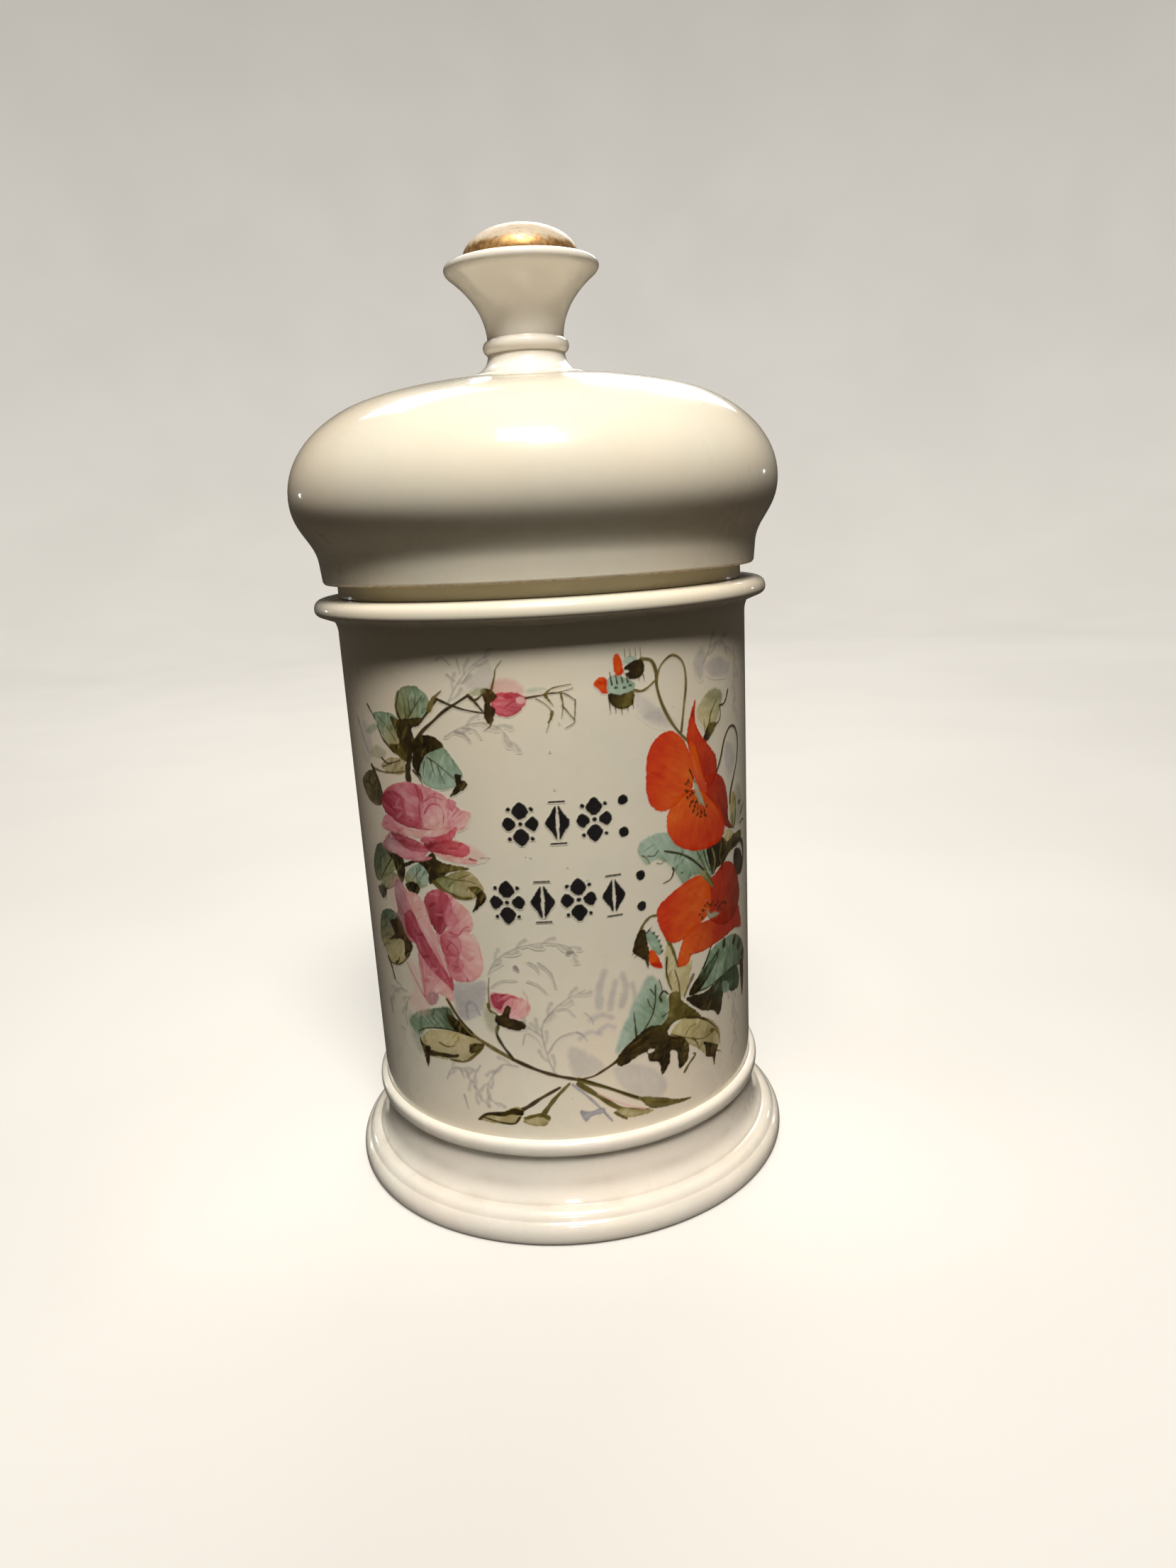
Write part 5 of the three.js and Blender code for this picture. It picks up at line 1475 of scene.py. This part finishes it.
def label_ornament(art):
    """Two rows of plain black ornament where such a jar carries its label. There is no lettering."""
    height = 11.6
    rows = ((114.5, (-8.6, 0.6, 9.8), 17.3), (93.9, (-13.4, -4.3, 4.8, 13.9), 21.4))
    for z, places, dots in rows:
        for i, s in enumerate(places):
            if i % 2:
                diamond(art, s, z, height, 6.2)
            else:
                floret(art, s, z, height, 9.2)
        for rise in (0.36, -0.36):
            ink_disc(art, dots, z + rise * height, 1.35)


def specks(art):
    """A few stray touches and kiln specks on the open ground."""
    count, side_margin, end_margin = 46, 4, 2
    random = np.random.default_rng(ORIGIN_SEED)
    for _ in range(count):
        s = random.uniform(PAINT_LEFT + side_margin, PAINT_RIGHT - side_margin)
        z = random.uniform(PAINT_LOW + end_margin, PAINT_HIGH - end_margin)
        radius = random.uniform(0.10, 0.24)
        strength = random.uniform(0.25, 0.6)
        art.dab(s, z, radius, BROWN, strength=strength, lean=random.uniform(0, 3))


def paint_barrel():
    """The whole decoration, from the faintest layer to the last touches."""
    art = Painting()
    shadow_sprays(art)
    rose_leaves(art)
    stems(art)
    upper_rose(art)
    lower_rose(art)
    rosebuds(art)
    poppy_leaves(art)
    poppy_buds(art)
    lower_poppy(art)
    upper_poppy(art)
    label_ornament(art)
    specks(art)
    return art


def barrel_radius(z):
    """The barrel's true radius at a height, both in millimetres."""
    share = (z - BEAD_TOP_Z) / (FLARE_Z - BEAD_TOP_Z)
    return BARREL_RADIUS + (BARREL_TOP_RADIUS - BARREL_RADIUS) * share


def enamel_piece(name, art, mask):
    """A skin of enamel just proud of the glaze, over the painted cells in the mask."""
    unrolled_radius = 57.0
    skin, relief = 0.03, 0.022
    least_cover = 0.012
    shown = art.cover > least_cover
    cells = shown[:-1, :-1] | shown[1:, :-1] | shown[:-1, 1:] | shown[1:, 1:]
    cells &= mask[:-1, :-1]
    rows, columns = np.nonzero(cells)
    width = len(art.s)
    first = rows * width + columns
    faces = np.stack([first, first + 1, first + width + 1, first + width], 1)
    used, faces = np.unique(faces, return_inverse=True)
    faces = faces.reshape(-1, 4)
    s, z = np.meshgrid(art.s, art.z)
    s, z = s.ravel()[used], z.ravel()[used]
    body = art.body.ravel()[used]
    radius = barrel_radius(z) + skin + relief * body
    vertices = on_surface(radius, s / unrolled_radius, z)
    piece = new_mesh_object(name, vertices.tolist(), faces.tolist())
    tint = np.concatenate([art.colour.reshape(-1, 3)[used], art.cover.reshape(-1, 1)[used]], 1)
    attribute = piece.data.attributes.new("enamel", "FLOAT_COLOR", "POINT")
    attribute.data.foreach_set("color", tint.astype(np.float32).ravel())
    return piece


def enamel_material(name):
    """Overglaze enamel: the glaze's own colour shows wherever the paint is thin."""
    nodes = Nodes(name)
    ground, pits = glaze_colour(nodes)
    enamel = nodes.attribute("enamel")
    bare_ground = nodes.mix(enamel.outputs["Alpha"], ground, (0.0, 0.0, 0.0))
    colour = nodes.mix(1.0, bare_ground, enamel.outputs["Color"], blend="ADD")
    roughness, normal = glaze_surface(nodes, pits)
    return nodes.finish(
        Base_Color=colour,
        Roughness=roughness,
        Normal=normal,
        Coat_Weight=0.7,
        **GLAZE_SHEEN,
    )


def painted_pieces():
    """Three skins that meet without overlap: the left spray, the right spray and the ornament."""
    art = paint_barrel()
    s, z = np.meshgrid(art.s, art.z)
    label_middle, label_half = (2.4, 104.4), (21.6, 17.2)
    label = (np.abs(s - label_middle[0]) < label_half[0]) & (np.abs(z - label_middle[1]) < label_half[1])
    sides = (("rose_spray_enamel", (s < 0) & ~label), ("poppy_spray_enamel", (s >= 0) & ~label))
    for name, mask in (*sides, ("label_ornament_enamel", label)):
        place(enamel_piece(name, art, mask), "jar", "jar_porcelain", enamel_material(name + "_finish"))


painted_pieces()


# ---------------------------------------------------------------- stage, light and camera
def floor_material():
    """Matt paper with a slow drift of tone. It glows a little, so it stays pale where few lamps reach."""
    nodes = Nodes("studio_paper")
    tone = nodes.ramp(nodes.noise(220, 2.0), 0.3, 0.7)
    colour = nodes.mix(tone, display(166, 162, 155), display(170, 166, 159))
    glow = nodes.mix(tone, display(226, 222, 214), display(229, 225, 217))
    return nodes.finish(
        Base_Color=colour,
        Roughness=0.9,
        Specular_IOR_Level=0.0,
        Emission_Color=glow,
        Emission_Strength=0.6,
    )


def studio_sweep():
    """A pale round floor that curves up into a wall well away from the jar. It throws no light on it."""
    wall_radius, bend, top = 2.2, 0.8, 2.6
    steps, turns = 24, 96
    side = [(wall_radius - bend, 0.0)]
    for i in range(1, steps + 1):
        angle = i * math.pi / 2 / steps
        side.append((wall_radius - bend + bend * math.sin(angle), bend - bend * math.cos(angle)))
    side.append((wall_radius, top))
    around = [(math.cos(i * 2 * math.pi / turns), math.sin(i * 2 * math.pi / turns)) for i in range(turns)]
    vertices = [(radius * x, radius * y, z) for radius, z in side for x, y in around]
    faces = [tuple(range(turns))]
    for i in range(len(side) - 1):
        low, high = i * turns, (i + 1) * turns
        faces += [(low + j, high + j, high + (j + 1) % turns, low + (j + 1) % turns) for j in range(turns)]
    sweep = new_mesh_object("studio_sweep", vertices, faces)
    sweep.data.materials.append(floor_material())
    sweep.visible_diffuse = False
    sweep.visible_glossy = False


def soft_light(
    name, azimuth, elevation, distance, width, height, power, colour, spread=180, aim_z=DOME_LOW.z
):
    """A rectangular lamp that faces the jar's axis at a height of aim_z millimetres.

    Azimuth 0 is in front and 90 to the right, in degrees. Distance, width and height are in metres.
    """
    aim = Vector((0, 0, aim_z * MM))
    turn, rise = math.radians(azimuth), math.radians(elevation)
    away = Vector((math.sin(turn) * math.cos(rise), -math.cos(turn) * math.cos(rise), math.sin(rise)))
    data = bpy.data.lights.new(name, "AREA")
    data.shape = "RECTANGLE"
    data.size, data.size_y = width, height
    data.energy = power
    data.color = colour
    data.spread = math.radians(spread)
    lamp = bpy.data.objects.new(name, data)
    lamp.location = aim + away * distance
    lamp.rotation_euler = away.to_track_quat("Z", "Y").to_euler()
    bpy.context.scene.collection.objects.link(lamp)


def backdrop_light(power, colour):
    """A wide lamp hung behind the jar that faces away from it and washes the far floor and the backdrop."""
    data = bpy.data.lights.new("backdrop_light", "AREA")
    data.shape = "RECTANGLE"
    width, height, spread = 2.4, 0.4, 110
    place, away = (0, 0.45, 1.3), Vector((0, -0.62, 0.78))
    data.size, data.size_y = width, height
    data.energy = power
    data.color = colour
    data.spread = math.radians(spread)
    lamp = bpy.data.objects.new("backdrop_light", data)
    lamp.location = place
    lamp.rotation_euler = away.to_track_quat("Z", "Y").to_euler()
    bpy.context.scene.collection.objects.link(lamp)


def studio_world(colour, strength):
    """A dim warm glow from all round."""
    world = bpy.data.worlds.new("studio_air")
    world.use_nodes = True
    background = world.node_tree.nodes["Background"]
    background.inputs["Color"].default_value = (*colour, 1.0)
    background.inputs["Strength"].default_value = strength
    bpy.context.scene.world = world


def photo_camera():
    """A wide lens close to the jar, looking down at it and leaning a little."""
    place = (0.0, -0.3202, 0.1872)
    yaw, pitch, roll = math.radians(1.89), math.radians(13.54), math.radians(-3.06)
    ahead = Vector((math.sin(yaw) * math.cos(pitch), math.cos(yaw) * math.cos(pitch), -math.sin(pitch)))
    level = Vector((math.cos(yaw), -math.sin(yaw), 0))
    above = level.cross(ahead)
    right = level * math.cos(roll) + above * math.sin(roll)
    up = above * math.cos(roll) - level * math.sin(roll)
    data = bpy.data.cameras.new("photo_camera")
    data.lens = 25.21
    data.sensor_width = 36.0
    data.clip_start = 0.01
    camera = bpy.data.objects.new("photo_camera", data)
    turn = Matrix((right, up, -ahead)).transposed().to_4x4()
    camera.matrix_world = Matrix.Translation(place) @ turn
    bpy.context.scene.collection.objects.link(camera)
    bpy.context.scene.camera = camera


studio_sweep()

# Each lamp's azimuth, elevation, distance, width, height and power.
WARM, COOL, NEUTRAL = (1.0, 0.955, 0.892), (0.95, 0.975, 1.0), (1.0, 0.98, 0.95)
soft_light("key_light", 9, 56, 1.1, 0.24, 0.22, 1.40, WARM, spread=64)
soft_light("high_key_light", -5, 63, 1.1, 0.34, 0.30, 1.07, WARM, spread=64)
soft_light("foot_light", -3, 42, 0.9, 0.24, 0.03, 0.011, WARM, spread=6, aim_z=-30.0)
soft_light("left_edge_light", -131, 6, 1.3, 0.09, 0.16, 0.004, COOL, spread=10, aim_z=60.0)
soft_light("right_edge_light", 129, 6, 1.3, 0.09, 0.16, 0.003, COOL, spread=10, aim_z=60.0)
soft_light("back_light", -158, 46, 1.2, 0.5, 0.3, 1.45, COOL)
soft_light("rear_light", 168, 34, 1.25, 0.7, 0.5, 1.25, COOL, spread=70)
backdrop_light(12.0, NEUTRAL)
studio_world((1.0, 0.85, 0.68), 0.056)
photo_camera()
bpy.context.scene.view_settings.view_transform = "Standard"
